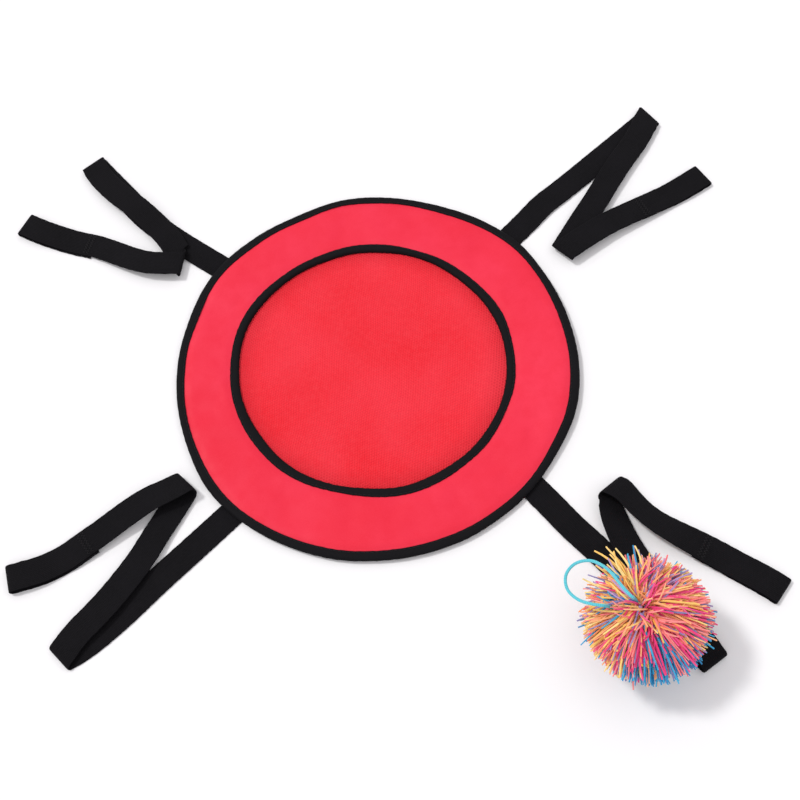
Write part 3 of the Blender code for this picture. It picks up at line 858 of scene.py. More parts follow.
# seam: degrees from +X of the strap's root. inner, middle, outer: middle line of each run as
# x, y and height above the floor. slip: sideways shift of the loop's lower ply. give: how far
# the elastic follows the near fold line. tilt: mm that the outer run's edge next to the middle
# run stands up; it stays for hold mm and is gone fade mm later. tip_r: radius of the loop's
# turn. far_line, near_line: direction of a fold. stand: half width of a fold that stands up.
STRAP_DEFAULTS = dict(give=1.0, tilt=0.0, fade=40.0, hold=0.0, far_line=None, near_line=None,
                      stand=None)
STRAPS = {
    "front_left": dict(
        seam=-138.3, slip=1.3, give=0.8, tilt=2.2, fade=42.0, tip_r=2.6,
        inner=[(-111.9, -99.9, 0.9), (-144.7, -125.7, 0.8), (-164.3, -140.9, 0.8),
               (-195.8, -166.4, 0.8), (-218.0, -181.6, 0.7), (-234.0, -188.5, 0.6)],
        middle=[(-234.0, -188.5, 4.0), (-228.2, -180.4, 4.2), (-221.4, -172.9, 4.8),
                (-209.6, -162.7, 5.6), (-196.5, -149.8, 5.4), (-177.0, -126.5, 4.3),
                (-165.2, -108.4, 3.0), (-153.0, -91.0, 2.4), (-142.3, -74.2, 2.4)],
        outer=[(-142.3, -74.2, 9.0), (-156.4, -79.4, 9.0), (-167.8, -83.3, 8.5),
               (-179.9, -89.2, 7.5), (-193.3, -96.6, 6), (-205.0, -103.6, 5),
               (-215.3, -109.0, 4), (-225.9, -115.0, 3), (-238.2, -120.7, 2.0),
               (-248.1, -124.4, 1.3), (-259.4, -126.8, 1.0), (-271.7, -128.8, .9)]),
    "back_left": dict(
        seam=135.9, slip=1.2, give=0.3, tip_r=1.8, near_line=(0.25, 0.97),
        inner=[(-109.4, 106.2, 0.9), (-126.0, 120.7, 1.0), (-144.6, 137.5, 1.6),
               (-164.8, 158.6, 2.2), (-181.2, 181.8, 1.8), (-205.2, 216.2, 0.7),
               (-207.4, 218.6, 0.6)],
        middle=[(-207.4, 218.6, 4.0), (-201.9, 205.6, 4.1), (-189.3, 187.1, 5.6),
                (-169.3, 165.0, 6.2), (-148.3, 137.0, 4.4), (-143.0, 126.0, 4.0),
                (-137.9, 111.0, 4.0)],
        outer=[(-137.9, 111.0, 7.4), (-151.0, 111.6, 7.6), (-164.5, 114.8, 6.9),
               (-178.2, 121.8, 5.0), (-192.7, 131.1, 3.2), (-207.1, 139.4, 2.2),
               (-220.8, 145.1, 1.6), (-235.3, 151.8, 1.2), (-249.9, 159.4, 1.0),
               (-265.0, 169.1, .9)]),
    "back_right": dict(
        seam=40.0, slip=0.3, tip_r=1.5, far_line=(0.51, -0.86),
        inner=[(118.5, 99.0, 0.9), (132.6, 110.7, 1.2), (147.9, 124.2, 1.5),
               (161.8, 133.6, 1.3), (177.3, 144.4, 1.0), (195.4, 157.4, 0.8),
               (220.6, 175.3, 0.7), (246.6, 194.3, 0.6)],
        middle=[(246.6, 194.3, 4.0), (231.0, 172.3, 4.2), (213.0, 151.0, 4.8),
                (200.4, 135.0, 4.8), (187.8, 118.6, 4.4), (175.6, 103.7, 4.1),
                (164.5, 89.4, 4.0), (154.6, 76.0, 4.0)],
        outer=[(154.6, 76.0, 7.4), (171.2, 84.8, 7.4), (192.7, 95.9, 6.5), (215.4, 105.0, 5.0),
               (234.8, 112.5, 3.5), (257.2, 121.9, 1.6), (278.6, 132.5, 1.0)]),
    "front_right": dict(
        seam=-47.1, slip=-0.4, tilt=4.0, fade=60.0, hold=26.0, tip_r=1.9,
        near_line=(0.80, 0.60), stand=10.3,
        inner=[(102.1, -110.3, 0.9), (112.0, -124.9, 1.0), (123.4, -142.1, 1.0),
               (134.9, -157.2, 0.9), (160.7, -192.9, 0.7), (180.5, -221.1, 0.6),
               (198.8, -247.9, 0.6)],
        middle=[(198.8, -247.9, 4.0), (192.1, -232.4, 4.1), (180.4, -212.1, 4.6),
                (170.5, -192.0, 4.8), (162.2, -173.1, 4.4), (157.2, -159.0, 3.8),
                (153.7, -144.6, 4.2), (152.1, -132.4, 4.8), (153.6, -118.5, 4.9)],
        outer=[(153.6, -118.5, 9.9), (161.0, -122.0, 9.4), (166.1, -129.8, 8.6),
               (172.2, -139.0, 7.8), (181.2, -148.8, 7.0), (191.2, -156.9, 6.0),
               (208.0, -169.4, 4.6), (226.4, -183.4, 3), (245.9, -199.5, 1.8),
               (255.9, -208.7, 1.1)]),
}


def half_widths(line, start_half, end_half, side, turn_over=15.0):
    """Half-width vectors along a run: square to it, turning to the fold line at each end."""
    square_dir = unit(np.cross(UP, tangents(line))) * side
    s = path_length(line)
    half = square_dir * HALF
    for fold_half, distance in ((start_half, s), (end_half, s[-1] - s)):
        if fold_half is None:
            continue
        share = ease(1 - distance / turn_over)[:, None]
        direction = unit(unit(half) * (1 - share) + unit(fold_half) * share)
        slant = np.abs((direction * square_dir).sum(-1, keepdims=True))
        own = np.linalg.norm(half, axis=-1, keepdims=True)
        length = np.where(share > 0, HALF / np.maximum(slant, 0.5), own)
        half = direction * (length * (1 - share) + np.linalg.norm(fold_half) * share)
    return half


def fold_arc(centre, axis, into, r, steps, give, back):
    """Stations of a half-turn about the fold line; the middle line runs along it like a helix.
    give < 1 lets the elastic stretch instead of running along; back sets the turn in, mm."""
    ahead = facing(unit(np.cross(axis, UP)), into)
    along = give * math.pi * r * (into @ axis) / (into @ ahead)
    a = np.linspace(-math.pi / 2, math.pi / 2, steps)
    return (centre - ahead * back + ahead * (r * np.cos(a))[:, None]
            + UP * (r * np.sin(a))[:, None] + axis * (along * (a / math.pi))[:, None])


def standing_fold(centre, axis, into, out_of, r, steps, back, slope):
    """Stations of a half-turn about a fold line that stands up on one end, and the direction
    square to that line. Both runs are set in along their own middle lines."""
    ahead = facing(unit(np.cross(axis, UP)), into)
    raised_axis = unit(axis + UP * slope)
    up = unit(UP - raised_axis * (UP @ raised_axis))
    at_in = -back * (into @ axis) / (into @ ahead)
    at_out = back * (out_of @ axis) / abs(out_of @ ahead)
    a = np.linspace(-math.pi / 2, math.pi / 2, steps)
    along = at_in + (at_out - at_in) * ease(a / math.pi + 0.5)
    arc = (centre - ahead * back + ahead * (r * np.cos(a))[:, None]
           + up * (r * np.sin(a))[:, None] + axis * along[:, None])
    return arc, up


def skewed(axis, direction, part=1.0):
    """Half width of the elastic along a fold line that crosses it at a slant."""
    return axis * (HALF * (1 + part * (1 / abs(axis @ left_of(direction)) - 1)))


def tilted(half, rise, raised):
    """Half widths with one edge raised by rise mm and the other lowered."""
    return (half * np.sqrt(1 - (rise / LEANING_HALF) ** 2)[:, None]
            + UP * (raised * rise)[:, None])


def webbing_section():
    """The elastic's section, top then bottom: (share of half width, height in mm)."""
    across = 33
    u = (np.sin(np.linspace(-math.pi / 2, math.pi / 2, across)) * 0.35
         + np.linspace(-1, 1, across) * 0.65)
    rim = (1 - np.abs(u) ** 9) ** (1 / 3.0)
    rib = 0.055 * np.cos(TURN * u * HALF / RIB_PITCH)
    bead = 0.05 * np.exp(-((np.abs(u) - 0.93) / 0.05) ** 2)
    height = (THICK / 2 - 0.05 - rib * 0.9 + bead) * rim
    return np.vstack([np.column_stack([u, height]),
                      np.column_stack([u[1:-1][::-1], -height[1:-1][::-1]])])


SECTION = webbing_section()


def webbing(name, centre, half, tangent, s, seed):
    """One length of elastic from its stations; s is their path length."""
    normal = unit(np.cross(tangent, half))
    edge_left = 0.10 * line_noise(seed + 1, 2.2, 14)(s)
    edge_right = 0.10 * line_noise(seed + 2, 2.2, 14)(s)
    u = SECTION[:, 0][None, :]
    widen = 1 + (np.where(u > 0, edge_right[:, None], edge_left[:, None])
                 * np.abs(u) ** 3 / HALF)
    points = (centre[:, None, :] + half[:, None, :] * (u * widen)[..., None]
              + normal[:, None, :] * SECTION[:, 1][None, :, None])
    points[..., 2] = np.maximum(points[..., 2], GROUND + 0.02)
    around = np.append(SECTION[:, 0], SECTION[0, 0]) * HALF
    return build_sweep(name, points, s, around, ELASTIC, sharp=60)


def lay_loop(line, half, tip_r, slip):
    """Ends the outer run in a hand loop: it turns down at the tip and comes back underneath.
    Returns lists of stations and half widths, and the upper ply against distance from the tip."""
    s = path_length(line)
    keep = s <= s[-1] - tip_r - THICK / 2
    line, half, s = line[keep], half[keep], s[keep]
    back_len = LOOP_LEN - tip_r + 6.0
    back = np.linspace(0, back_len, int(back_len / STEP) + 1)

    def drop(d):
        """How far the lower ply lies under the upper one, at distance d from the tip's turn."""
        plies = 1.27
        return (plies + (2 * tip_r - plies) * (1 - ease(d / 44.0))
                + 0.45 * np.sin(np.clip(d / 44.0, 0, 1) * math.pi))
    from_tip = s[-1] - s
    room = drop(from_tip) * ease((back_len + 14.0 - from_tip) / 14.0)
    line[:, 2] = np.maximum(line[:, 2], ON_FLOOR + 0.03 + room)
    soften(line[:, 2], 1)
    ahead = flat(line[-1] - line[-3])
    a = np.linspace(-math.pi / 2, math.pi / 2, 13)
    tip = (line[-1] + ahead * (tip_r * np.cos(a))[:, None]
           - UP * (tip_r * (1 + np.sin(a)))[:, None])
    tip_half = np.repeat(half[-1][None], len(tip), 0)
    upper = sample(s[-1] - back, s, line)
    upper_half = sample(s[-1] - back, s, half)
    lower = (upper - UP * drop(back)[:, None]
             + unit(upper_half) * (slip * ease(back / 50.0))[:, None])
    lower[:, 2] = np.maximum(lower[:, 2], ON_FLOOR + 0.02)
    return ([line, tip[1:-1], lower], [half, tip_half[1:-1], upper_half],
            (back, upper, upper_half))


def lay_strap(strap):
    """Stations and half widths of a whole strap, the stations where its folds start and end,
    the near fold's upward direction, and the hand loop's upper ply."""
    inner, middle, outer = (np.array(strap[run], float) + UP * GROUND
                            for run in ("inner", "middle", "outer"))
    start = flat(inner[1] - inner[0])
    inner = np.vstack([inner[0] - start * 21.0, inner[0] - start * 10.0, inner])
    inner[:3, 2] = ON_FLOOR + 0.02
    into_far, out_far = flat(inner[-1] - inner[-2]), flat(middle[1] - middle[0])
    into_near, out_near = flat(middle[-1] - middle[-2]), flat(outer[1] - outer[0])
    tilt, give, stand = strap["tilt"], strap["give"], strap["stand"]

    far_axis = facing(unit(into_far + out_far), left_of(into_far))
    if strap["far_line"]:
        far_axis = facing(flat(strap["far_line"]), far_axis)
    far_r = (middle[0][2] - inner[-1][2]) / 2
    far_arc = fold_arc((inner[-1] + middle[0]) / 2, far_axis, into_far, far_r, steps=15,
                       give=1.0, back=1.0)
    inner[-1], middle[0] = far_arc[0], far_arc[-1]

    middle_side = sign(far_axis @ left_of(out_far))
    near_line = strap["near_line"]
    near_axis = flat(near_line) if near_line else unit(into_near + out_near)
    near_axis = facing(near_axis, left_of(into_near) * middle_side)
    near = (middle[-1] + outer[0]) / 2
    near_r = (outer[0][2] - middle[-1][2]) / 2
    outer_side = sign(near_axis @ left_of(out_near))
    raised = sign((left_of(out_near) * outer_side) @ (middle[3] - near))
    near_turn = dict(r=near_r, steps=19, back=near_r * 0.85)
    if stand:
        near_arc, fold_up = standing_fold(near, near_axis, into_near, out_near,
                                          slope=raised * tilt / stand, **near_turn)
        near_in = near_out = near_axis * (stand / math.sqrt(1 - (tilt / LEANING_HALF) ** 2))
    else:
        near_arc, fold_up = fold_arc(near, near_axis, into_near, give=give, **near_turn), UP
        near_in = skewed(near_axis, into_near, give)
        near_out = skewed(near_axis, out_near, give)
    middle[-1], outer[0] = near_arc[0], near_arc[-1]

    inner, middle, outer = (smooth_line(run, STEP) for run in (inner, middle, outer))
    for line in (inner, middle, outer):
        line[:, 2] = np.maximum(line[:, 2], ON_FLOOR + 0.01)
    far_in, far_out = skewed(far_axis, into_far), skewed(far_axis, out_far)
    inner_half = half_widths(inner, None, far_in, 1.0)
    middle_half = half_widths(middle, far_out, near_in, middle_side)
    outer_half = half_widths(outer, near_out, None, outer_side)
    if stand:
        # the fold stands on edge: the run below leans up into it as well, and narrows
        s = path_length(middle)
        to_fold = s[-1] - s
        lean = tilt * (1 - ease(to_fold / 46.0))
        draw_in = 1 - 0.085 * np.exp(-((to_fold - 8.5) / 5.0) ** 2)
        middle_half = tilted(middle_half * draw_in[:, None], lean, raised)
        middle[:, 2] = np.maximum(middle[:, 2], ON_FLOOR + 0.04 + lean)
    rise = tilt * (1 - ease((path_length(outer) - strap["hold"]) / strap["fade"]))
    outer_half = tilted(outer_half, rise, raised)
    outer[:, 2] = np.maximum(outer[:, 2], ON_FLOOR + 0.04 + (rise if stand else 0.0))

    far_share = ease(np.linspace(0, 1, len(far_arc)))[:, None]
    far_half = far_in * (1 - far_share) + far_out * far_share
    share = ease(np.linspace(0, 1, len(near_arc)))
    near_half = near_in * (1 - share[:, None]) + near_out * share[:, None]
    near_half = tilted(near_half, np.full_like(share, tilt) if stand else tilt * share, raised)

    loop, loop_half, upper_ply = lay_loop(outer, outer_half, strap["tip_r"], strap["slip"])
    centre = np.vstack([inner, far_arc[1:-1], middle, near_arc[1:-1], *loop])
    half = np.vstack([inner_half, far_half[1:-1], middle_half, near_half[1:-1], *loop_half])
    folds = np.cumsum([len(inner) - 1, len(far_arc) - 1, len(middle) - 1, len(near_arc) - 1])
    return centre, half, folds.tolist(), fold_up, upper_ply


def loop_stitching(side, tip_r, back, upper, upper_half):
    """Two zigzag rows that close the hand loop, over both plies."""
    rows, zigs, stations = 2, 15, 6
    seam = LOOP_LEN - tip_r - 1.0
    ends = []
    for row, e in itertools.product(range(rows), range(zigs)):
        swing = 1.0 if e % 2 else -1.0
        s = seam + row * SEAM_ROW_GAP + np.array([swing, -swing])
        across = (np.array([e, e + 1]) / zigs - 0.5) * 2 * 0.86
        ends.append(sample(s, back, upper) + sample(s, back, upper_half) * across[:, None])
    first, last = np.array(ends).transpose(1, 0, 2)[:, :, None]
    f = np.linspace(0, 1, stations)[:, None]
    height = THICK / 2 + 0.10 + 0.16 * (1 - (2 * f - 1) ** 4) - 0.05
    lines = first * (1 - f) + last * f + UP * height
    sideways = unit(np.cross(UP, unit(last - first)))
    tack = build_threads(f"{side}_loop_stitching", lines, np.full(stations, 0.22), sideways, UP,
                         pitch=0.5)
    join(tack, f"{side}_strap_outer", f"{side}_loop_tack")


def make_strap(side, seed):
    """Lays one strap, cuts it into pieces and joins them to the frame."""
    strap = {**STRAP_DEFAULTS, **STRAPS[side]}
    azimuth = math.radians(strap["seam"])
    outwards = np.array([math.cos(azimuth), math.sin(azimuth), 0.0])
    centre, half, folds, fold_up, upper_ply = lay_strap(strap)
    far_in, far_out, near_in, near_out = folds
    tangent = tangents(centre)
    s = path_length(centre)

    def station(wanted):
        return int(np.argmin(np.abs(s - wanted)))
    pivot_s = float(np.interp(PIVOT_R, centre[:far_in + 1] @ outwards, s[:far_in + 1]))
    cuts = [0, station(pivot_s + 9.0), station(s[far_in] - 14.0), station(s[far_out] + 14.0),
            station(s[near_in] - 13.0), station(s[near_out] + 13.0), len(centre) - 1]
    parts = ["root_tab", "inner_leg", "far_fold", "middle_leg", "near_fold", "hand_loop"]
    pieces = []
    for part, first, last in zip(parts, cuts, cuts[1:]):
        span = slice(first, last + 1)
        ob = webbing(f"{side}_webbing_{part}", centre[span], half[span], tangent[span], s[span],
                     seed)
        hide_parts(f"{side}_{part}")
        pieces.append(ob)
    tab, inner, far_fold, middle, near_fold, hand = pieces

    def blend_fold(ob, lower, upper):
        """Bakes a fold's place into its mesh."""
        low, high = slice(lower[0], lower[1] + 1), slice(upper[0], upper[1] + 1)
        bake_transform(ob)
    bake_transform(tab)
    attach(inner, f"{side}_strap_inner")
    blend_fold(far_fold, (cuts[2], far_in), (far_out, cuts[3]))
    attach(middle, f"{side}_strap_middle")
    blend_fold(near_fold, (cuts[4], near_in), (near_out, cuts[5]))
    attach(hand, f"{side}_strap_outer")
    loop_stitching(side, strap["tip_r"], *upper_ply)
    return centre


strap_lines = {side: make_strap(side, SEED + 100 * i) for i, side in enumerate(STRAPS)}

# ------------------------------------------------------------------ the ball's strands
core_lo, core_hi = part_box("ball_core")
BALL = np.array((core_lo + core_hi) / 2) * 1000.0
CORE = BALL + np.array([-3.6, 7.0, 7.0])        # where the strands are tied
HEART = BALL + np.array([-0.4, -0.2, 1.2])      # what their ends are measured from
# the crown: the ball's axis leans towards the camera; side_x and side_y are square to it
CROWN = unit(0.7 * unit(CAMERA_AT - BALL) + 0.3 * UP)
SIDE_X = unit(np.array([1.0, 0, 0]) - CROWN * CROWN[0])
SIDE_Y = np.cross(CROWN, SIDE_X)
CLUMPS = 620
CROWN_STRANDS = 120
STRAND_LEN = 38.9
STATIONS = 10
LINE = np.linspace(0, 1, STATIONS)
TONES = {                           # low and high colour of each rubber
    "yellow": ((0.97, 0.55, 0.10), (1.0, 0.76, 0.30)),
    "orange": ((0.96, 0.31, 0.10), (1.0, 0.52, 0.26)),
    "salmon": ((0.95, 0.15, 0.17), (1.0, 0.40, 0.37)),
    "magenta": ((0.80, 0.018, 0.15), (0.95, 0.10, 0.32)),
    "blue": ((0.006, 0.20, 0.48), (0.040, 0.44, 0.72)),
    "lilac": ((0.17, 0.20, 0.42), (0.52, 0.34, 0.64)),
}
# share of each tone, in the order of TONES, by degrees round the crown from +X
MIXES = [
    (-180, (.46, .26, .12, .04, .03, .09)), (-165, (.38, .28, .13, .12, .02, .07)),
    (-148, (.13, .20, .18, .37, .02, .10)), (-125, (.03, .11, .17, .53, .03, .13)),
    (-90, (.03, .13, .20, .48, .05, .11)), (-55, (.04, .14, .24, .45, .03, .10)),
    (-20, (.12, .16, .38, .22, .02, .10)), (15, (.16, .18, .44, .13, .02, .07)),
    (50, (.22, .16, .34, .06, .05, .17)), (85, (.14, .20, .36, .06, .08, .16)),
    (120, (.36, .28, .14, .03, .05, .14)), (150, (.44, .27, .12, .03, .03, .11)),
    (180, (.46, .26, .12, .04, .03, .09)),
]
LOW_BACK = np.array([.20, .18, .20, .08, .12, .22])
LOW_FRONT = np.array([.01, .02, .03, .07, .80, .07])
LOW_FRONT_LEFT = np.array([.07, .12, .08, .28, .24, .21])
TUFT_SHARES = np.array([.80, .10, .06, .0, .0, .04])
CROWN_SHARES = np.array([.13, .21, .32, .30, .01, .03])


def tone_shares(azimuth, polar_angle):
    """Tone shares at an azimuth round the crown and an angle down from it, degrees."""
    azimuths = [m[0] for m in MIXES]
    table = np.array([m[1] for m in MIXES])
    shares = np.array([np.interp(azimuth, azimuths, column) for column in table.T])
    front = ease((-azimuth) / 40.0) * ease((azimuth + 165) / 30.0)
    earlier = 25 * math.exp(-((azimuth + 97) / 52.0) ** 4)
    under = ease((polar_angle - 75 + earlier) / 13.0)
    if front > 0.5:
        left = ease((-100 - azimuth) / 30.0)
        low = LOW_FRONT * (1 - left) + LOW_FRONT_LEFT * left
    else:
        low = LOW_BACK
    shares = shares * (1 - under) + low * under
    return shares / shares.sum()


def aim(polar_angle, azimuth):
    """Direction at degrees down from the crown and radians round it."""
    a = math.radians(polar_angle)
    around = SIDE_X * math.cos(azimuth) + SIDE_Y * math.sin(azimuth)
    return CROWN * math.cos(a) + around * math.sin(a)


def bend_between(p0, p1, p2):
    s = LINE[:, None]
    return p0 * (1 - s) ** 2 + p1 * (2 * s * (1 - s)) + p2 * s ** 2


def strand_radii(widest, root):
    """Radius along a strand: root is its share at the core; the tip is thinner too."""
    return (widest * (root + (1 - root) * ease(LINE / 0.5))
            * (1 - 0.30 * ease((LINE - 0.72) / 0.28)))


def clump_strands(rng, c, strands):
    """Adds one clump of strands: each is (path, radii, tone, tint)."""
    golden = math.pi * (3 - math.sqrt(5))
    spread = 0.070
    s = LINE[:, None]
    down = math.degrees(math.acos(1 - 2 * (c + 0.5) / CLUMPS)) + rng.normal(0, 3.0)
    azimuth = (c * golden) % TURN + rng.normal(0, 0.05)
    degrees = (math.degrees(azimuth) + 180) % 360 - 180
    # the back is thin, so that the floor shows between the strands there
    thin = math.exp(-((degrees - 108) / 38.0) ** 2) * float(ease((down - 45) / 25.0))
    if rng.random() < 0.66 * thin:
        return
    tuft = abs(degrees - 112) < 9 and 52 < down < 96     # a longer yellow tuft at the back
    shares = TUFT_SHARES if tuft else tone_shares(degrees, down)
    clump_tone = rng.choice(6, p=shares)
    clump_len = STRAND_LEN * (1 + rng.normal(0, 0.03))
    clump_bend = rng.normal(0, 1, 3)
    # where it starts out and where it ends up, as angles from the crown
    down_start = down * 0.62 if down < 90 else down
    down_end = down + 30.0 * math.exp(-(down / 48.0) ** 2) * min(1.0, down / 14.0) + 6
    short = 1.0 - 0.26 * math.exp(-(down / 30.0) ** 2)
    if tuft:
        short *= 1.13
    if -152 < degrees < -22 and down < 58:   # the blue lower layer shows past the upper one
        short *= 1 - 0.19 * math.exp(-((degrees + 75) / 50.0) ** 4)
    count = 3 if down < 24 else (4 if down < 45 else 5)
    shift = 6.5 * rng.normal(0, 0.5, 3) * (1.3 if down < 50 else 0.7)
    for _ in range(count):
        stray = rng.normal(0, 1, 3)
        start = unit(aim(down_start, azimuth) + spread * 1.5 * stray)
        end = unit(aim(min(down_end, 179.0), azimuth)
                   + spread * (0.75 * stray + 0.5 * rng.normal(0, 1, 3)))
        tone = clump_tone if rng.random() < 0.55 else rng.choice(6, p=shares)
        length = clump_len * short * (1 + rng.normal(0, 0.045 + 0.07 * thin))
        length *= 1 - 0.05 * max(0.0, -end[2])
        bend = unit(np.cross(end, clump_bend + 0.7 * rng.normal(0, 1, 3)))
        bend = bend * (2.0 + 3.2 * rng.random())
        p0 = CORE + start * 2.0 + 0.5 * shift + 1.2 * rng.normal(0, 1, 3)
        p1 = CORE + start * (length * 0.50) + shift + 1.5 * rng.normal(0, 1, 3)
        path = bend_between(p0, p1, HEART + end * length)
        droop = (0.8 + 1.6 * rng.random()) * (1 - abs(end[2]) * 0.75)
        path = path + bend * np.sin(math.pi * 0.85 * s) * s - UP * droop * s ** 2.2
        curl = unit(np.cross(end, rng.normal(0, 1, 3)))
        path = path + curl * (1.4 * rng.random() * np.clip(s - 0.62, 0, 1) ** 1.5 / 0.24)
        radii = strand_radii(0.66 * (1 + rng.normal(0, 0.12)), root=0.50)
        strands.append((path, radii, tone, rng.random()))


def crown_strand(rng):
    """A short strand that fills the crown."""
    down = 46.0 * math.sqrt(rng.random())
    azimuth = rng.uniform(0, TURN)
    start = unit(aim(down, azimuth) + 0.25 * rng.normal(0, 1, 3))
    end = unit(aim(min(85.0, down + 32.0), azimuth + rng.normal(0, 0.7)))
    length = 15.0 + 17.0 * rng.random()
    p0 = CORE + 4.0 * rng.normal(0, 0.6, 3)
    p1 = CORE + start * length * 0.75 + 1.5 * rng.normal(0, 1, 3)
    path = bend_between(p0, p1, CORE + unit(start + end) * length)
    radii = strand_radii(0.62 * (1 + rng.normal(0, 0.12)), root=0.6)
    tone = rng.choice(6, p=CROWN_SHARES)
    return path, radii, tone, rng.random()


def rest_strands(paths):
    """Lifts what hangs low on to the floor and the webbing under the ball."""
    line = strap_lines["front_right"]
    near = line[np.linalg.norm(line[:, :2] - BALL[:2], axis=1) < 62]
    points = paths.reshape(-1, 3)
    distance = np.sqrt(((points[:, None, :2] - near[None, :, :2]) ** 2).sum(-1))
    top = np.where(distance < 11.2, near[None, :, 2] + 1.45, GROUND + 0.85).max(1)
    points[:, 2] = np.where(points[:, 2] < BALL[2], np.maximum(points[:, 2], top + 0.05),
                            points[:, 2])
    return points.reshape(paths.shape)


def strand_ball():
    """Strands spring from the tied core, rise towards the crown and fall open."""
    rng = np.random.default_rng(SEED + 900)
    strands = []
    for c in range(CLUMPS):
        clump_strands(rng, c, strands)
    strands += [crown_strand(rng) for _ in range(CROWN_STRANDS)]
    paths, radii, tones, tints = (np.array(column) for column in zip(*strands))
    return rest_strands(paths), radii, tones, tints


def build_strands(name, paths, radii, tint, material):
    """Round strands with flat ends, carrying their tint and the share of the way along."""
    sides = 5
    n, m, _ = paths.shape
    t = unit(np.gradient(paths, axis=1))
    rng = np.random.default_rng(SEED + len(name))
    reference = unit(rng.normal(0, 1, (n, 3)))[:, None, :]
    a = unit(reference - t * (t * reference).sum(-1, keepdims=True))
    b = np.cross(t, a)
    angle = (TURN * np.arange(sides) / sides)[:, None]
    ring = a[:, :, None, :] * np.cos(angle) + b[:, :, None, :] * np.sin(angle)
    points = paths[:, :, None, :] + ring * radii[:, :, None, None]
    faces = []
    for base in range(0, n * m * sides, m * sides):
        for row in range(base, base + (m - 1) * sides, sides):
            after = row + sides
            for j in range(sides):
                j2 = (j + 1) % sides
                faces.append((row + j, row + j2, after + j2, after + j))
        last = base + (m - 1) * sides
        faces.append(tuple(range(base + sides - 1, base - 1, -1)))
        faces.append(tuple(range(last, last + sides)))
    attrs = {"tint": np.repeat(tint, m * sides), "along": np.tile(np.repeat(LINE, sides), n)}
    return build(name, points.reshape(-1, 3), faces, material, sharp=70, attrs=attrs)


paths, radii, tones, tints = strand_ball()
for q, (tone, (low, high)) in enumerate(TONES.items()):
    picked = tones == q
    rubber = rubber_material("rubber_" + tone, low, high)
    ob = build_strands("rubber_strands_" + tone, paths[picked], radii[picked], tints[picked],
                       rubber)
    join(ob, "ball", "ball_strands_" + tone)


# ------------------------------------------------------------------ the ball's core and cord
KNOT_R, KNOT_LUMP = 6.2, 0.7


def core_knot():
    """Middle that the strands are tied with: a lumpy ball of wrapped rubber."""
    n, m = 40, 24                   # columns and rows
    lumps = unit(np.random.default_rng(SEED + 77).normal(0, 1, (6, 3)))
    grid = [(0, 0), *itertools.product(range(1, m), range(n)), (m, 0)]
    row, column = np.array(grid).T
    down, turn = math.pi * row / m, TURN * column / n
    d = np.stack([np.sin(down) * np.cos(turn), np.sin(down) * np.sin(turn), np.cos(down)], -1)
    wobble = np.sin(9 * (d @ lumps.T) + np.arange(6)).mean(-1)
    verts = CORE + d * (KNOT_R + KNOT_LUMP * wobble)[:, None]

    def index(i, j):
        if i in (0, m):             # the poles
            return 0 if i == 0 else len(verts) - 1
        return 1 + (i - 1) * n + j % n
    faces = [tuple(dict.fromkeys((index(i, j), index(i, j + 1), index(i + 1, j + 1),
                                  index(i + 1, j))))
             for i in range(m) for j in range(n)]
    rubber = rubber_material("rubber_core", (0.50, 0.10, 0.08), (0.72, 0.20, 0.14))
    ob = build("ball_core_knot", verts, faces, rubber,
               attrs={"tint": np.full(len(verts), 0.5), "along": np.ones(len(verts))})
    join(ob, "ball", "ball_core")


CORD_R, BRAID_HEIGHT = 1.02, 0.10
# middle line of the finger loop, from the core round and back into it
CORD_LINE = [
    CORE + (-1, 0, 2), (147.5, -218.0, 59.0), (142.6, -217.0, 72.0), (140.3, -220.0, 83),
    (137.4, -216.0, 83.5), (134.4, -210.0, 82), (131.8, -203.0, 79), (127.9, -196.0, 75),
    (120.7, -189.8, 70), (111.6, -189.6, 66), (105.3, -195.4, 64), (104.6, -204.4, 64),
    (109.3, -212.4, 67), (116.1, -217.4, 71), (123.4, -219.8, 72), (128.5, -219.0, 64),
    (136.0, -220.0, 56), CORE + (-4, -1, 1), CORE + (-2, -1, 0)]


def cord():
    """Braided cord of the finger loop."""
    line = smooth_line(CORD_LINE, 0.55)
    soften(line, 12)
    t = tangents(line)
    a = np.zeros_like(line)
    a[0] = unit(np.cross(t[0], np.array([0.3, 0.2, 0.9])))
    for i in range(1, len(line)):   # the section's axes go along the cord without twisting
        a[i] = unit(a[i - 1] - t[i] * (a[i - 1] @ t[i]))
    b = np.cross(t, a)
    s = path_length(line)
    sides = 14
    around = TURN * np.arange(sides + 1) / sides
    angle = around[:-1]
    advance, winding = TURN * s[:, None] / BRAID_PITCH, BRAID_PLIES * angle[None]
    r = CORD_R + BRAID_HEIGHT * np.sin(advance + winding) * np.sin(advance - winding)
    ring = (a[:, None] * np.cos(angle)[None, :, None] + b[:, None] * np.sin(angle)[None, :, None])
    ob = build_sweep("finger_loop_cord_braid", line[:, None] + ring * r[..., None], s, around,
                     CORD, sharp=80)
    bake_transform(ob)
    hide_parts("finger_loop_cord")


core_knot()
cord()


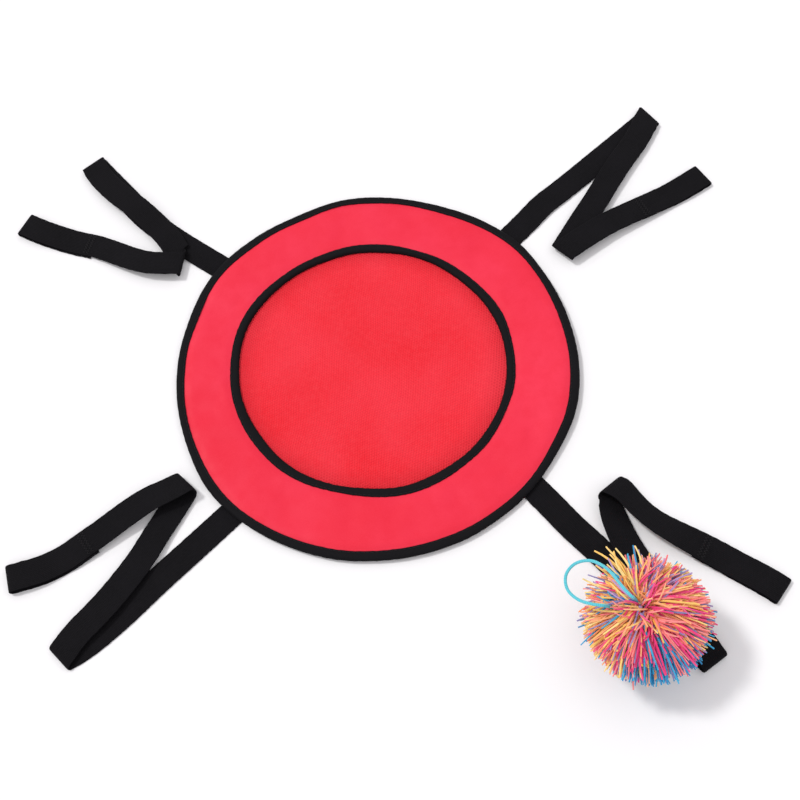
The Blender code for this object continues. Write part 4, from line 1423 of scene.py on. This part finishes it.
# ------------------------------------------------------------------ the stage
def make_floor():
    half_size = 6                   # metres
    material = Graph("pale_floor").finish((0.93, 0.93, 0.935), roughness=0.9, specular=0.1)
    corners = [(half_size * x, half_size * y, GROUND * MM)
               for x, y in ((-1, -1), (1, -1), (1, 1), (-1, 1))]
    mesh = bpy.data.meshes.new("floor")
    mesh.from_pydata(corners, [], [(0, 1, 2, 3)])
    floor = bpy.data.objects.new("floor", mesh)
    mesh.materials.append(material)
    scene.collection.objects.link(floor)


def light_world():
    world = bpy.data.worlds.new("studio") if scene.world is None else scene.world
    scene.world = world
    world.use_nodes = True
    nodes = world.node_tree.nodes
    background = nodes.get("Background") or nodes.new("ShaderNodeBackground")
    background.inputs["Color"].default_value = (1.0, 0.975, 1.0, 1.0)
    background.inputs["Strength"].default_value = 0.785


def add_light(name, kind, direction, location=(0, 0, 0), **settings):
    data = bpy.data.lights.new(name, kind)
    for key, value in settings.items():
        setattr(data, key, value)
    ob = bpy.data.objects.new(name, data)
    scene.collection.objects.link(ob)
    ob.location = location
    ob.rotation_euler = Vector(direction).to_track_quat("-Z", "Y").to_euler()


def add_camera():
    data = bpy.data.cameras.new("camera")
    data.lens = 55.31
    data.sensor_width = 36.0
    data.clip_start = 0.01
    data.clip_end = 50.0
    camera = bpy.data.objects.new("camera", data)
    scene.collection.objects.link(camera)
    roll = -0.1295                  # radians
    eye = Vector(CAMERA_AT * MM)
    forward = (Vector(CAMERA_AIM * MM) - eye).normalized()
    right = Vector((1.0, 0.0, 0.0))
    up = right.cross(forward)
    across = math.cos(roll) * right + math.sin(roll) * up
    upright = math.cos(roll) * up - math.sin(roll) * right
    turn = Matrix((across, upright, -forward)).transposed().to_4x4()
    camera.matrix_world = Matrix.Translation(eye) @ turn
    scene.camera = camera


make_floor()
light_world()
add_light("key", "SUN", direction=(0.56, -0.30, -0.95), energy=1.32, angle=math.radians(9.0),
          color=(1.0, 0.995, 0.985))
add_light("fill", "AREA", direction=(-0.2, 1.6, -2.0), location=(0.2, -1.6, 2.0),
          shape="DISK", size=1.6, energy=1.5)
scene.view_settings.view_transform = "Standard"
scene.view_settings.look = "None"
add_camera()
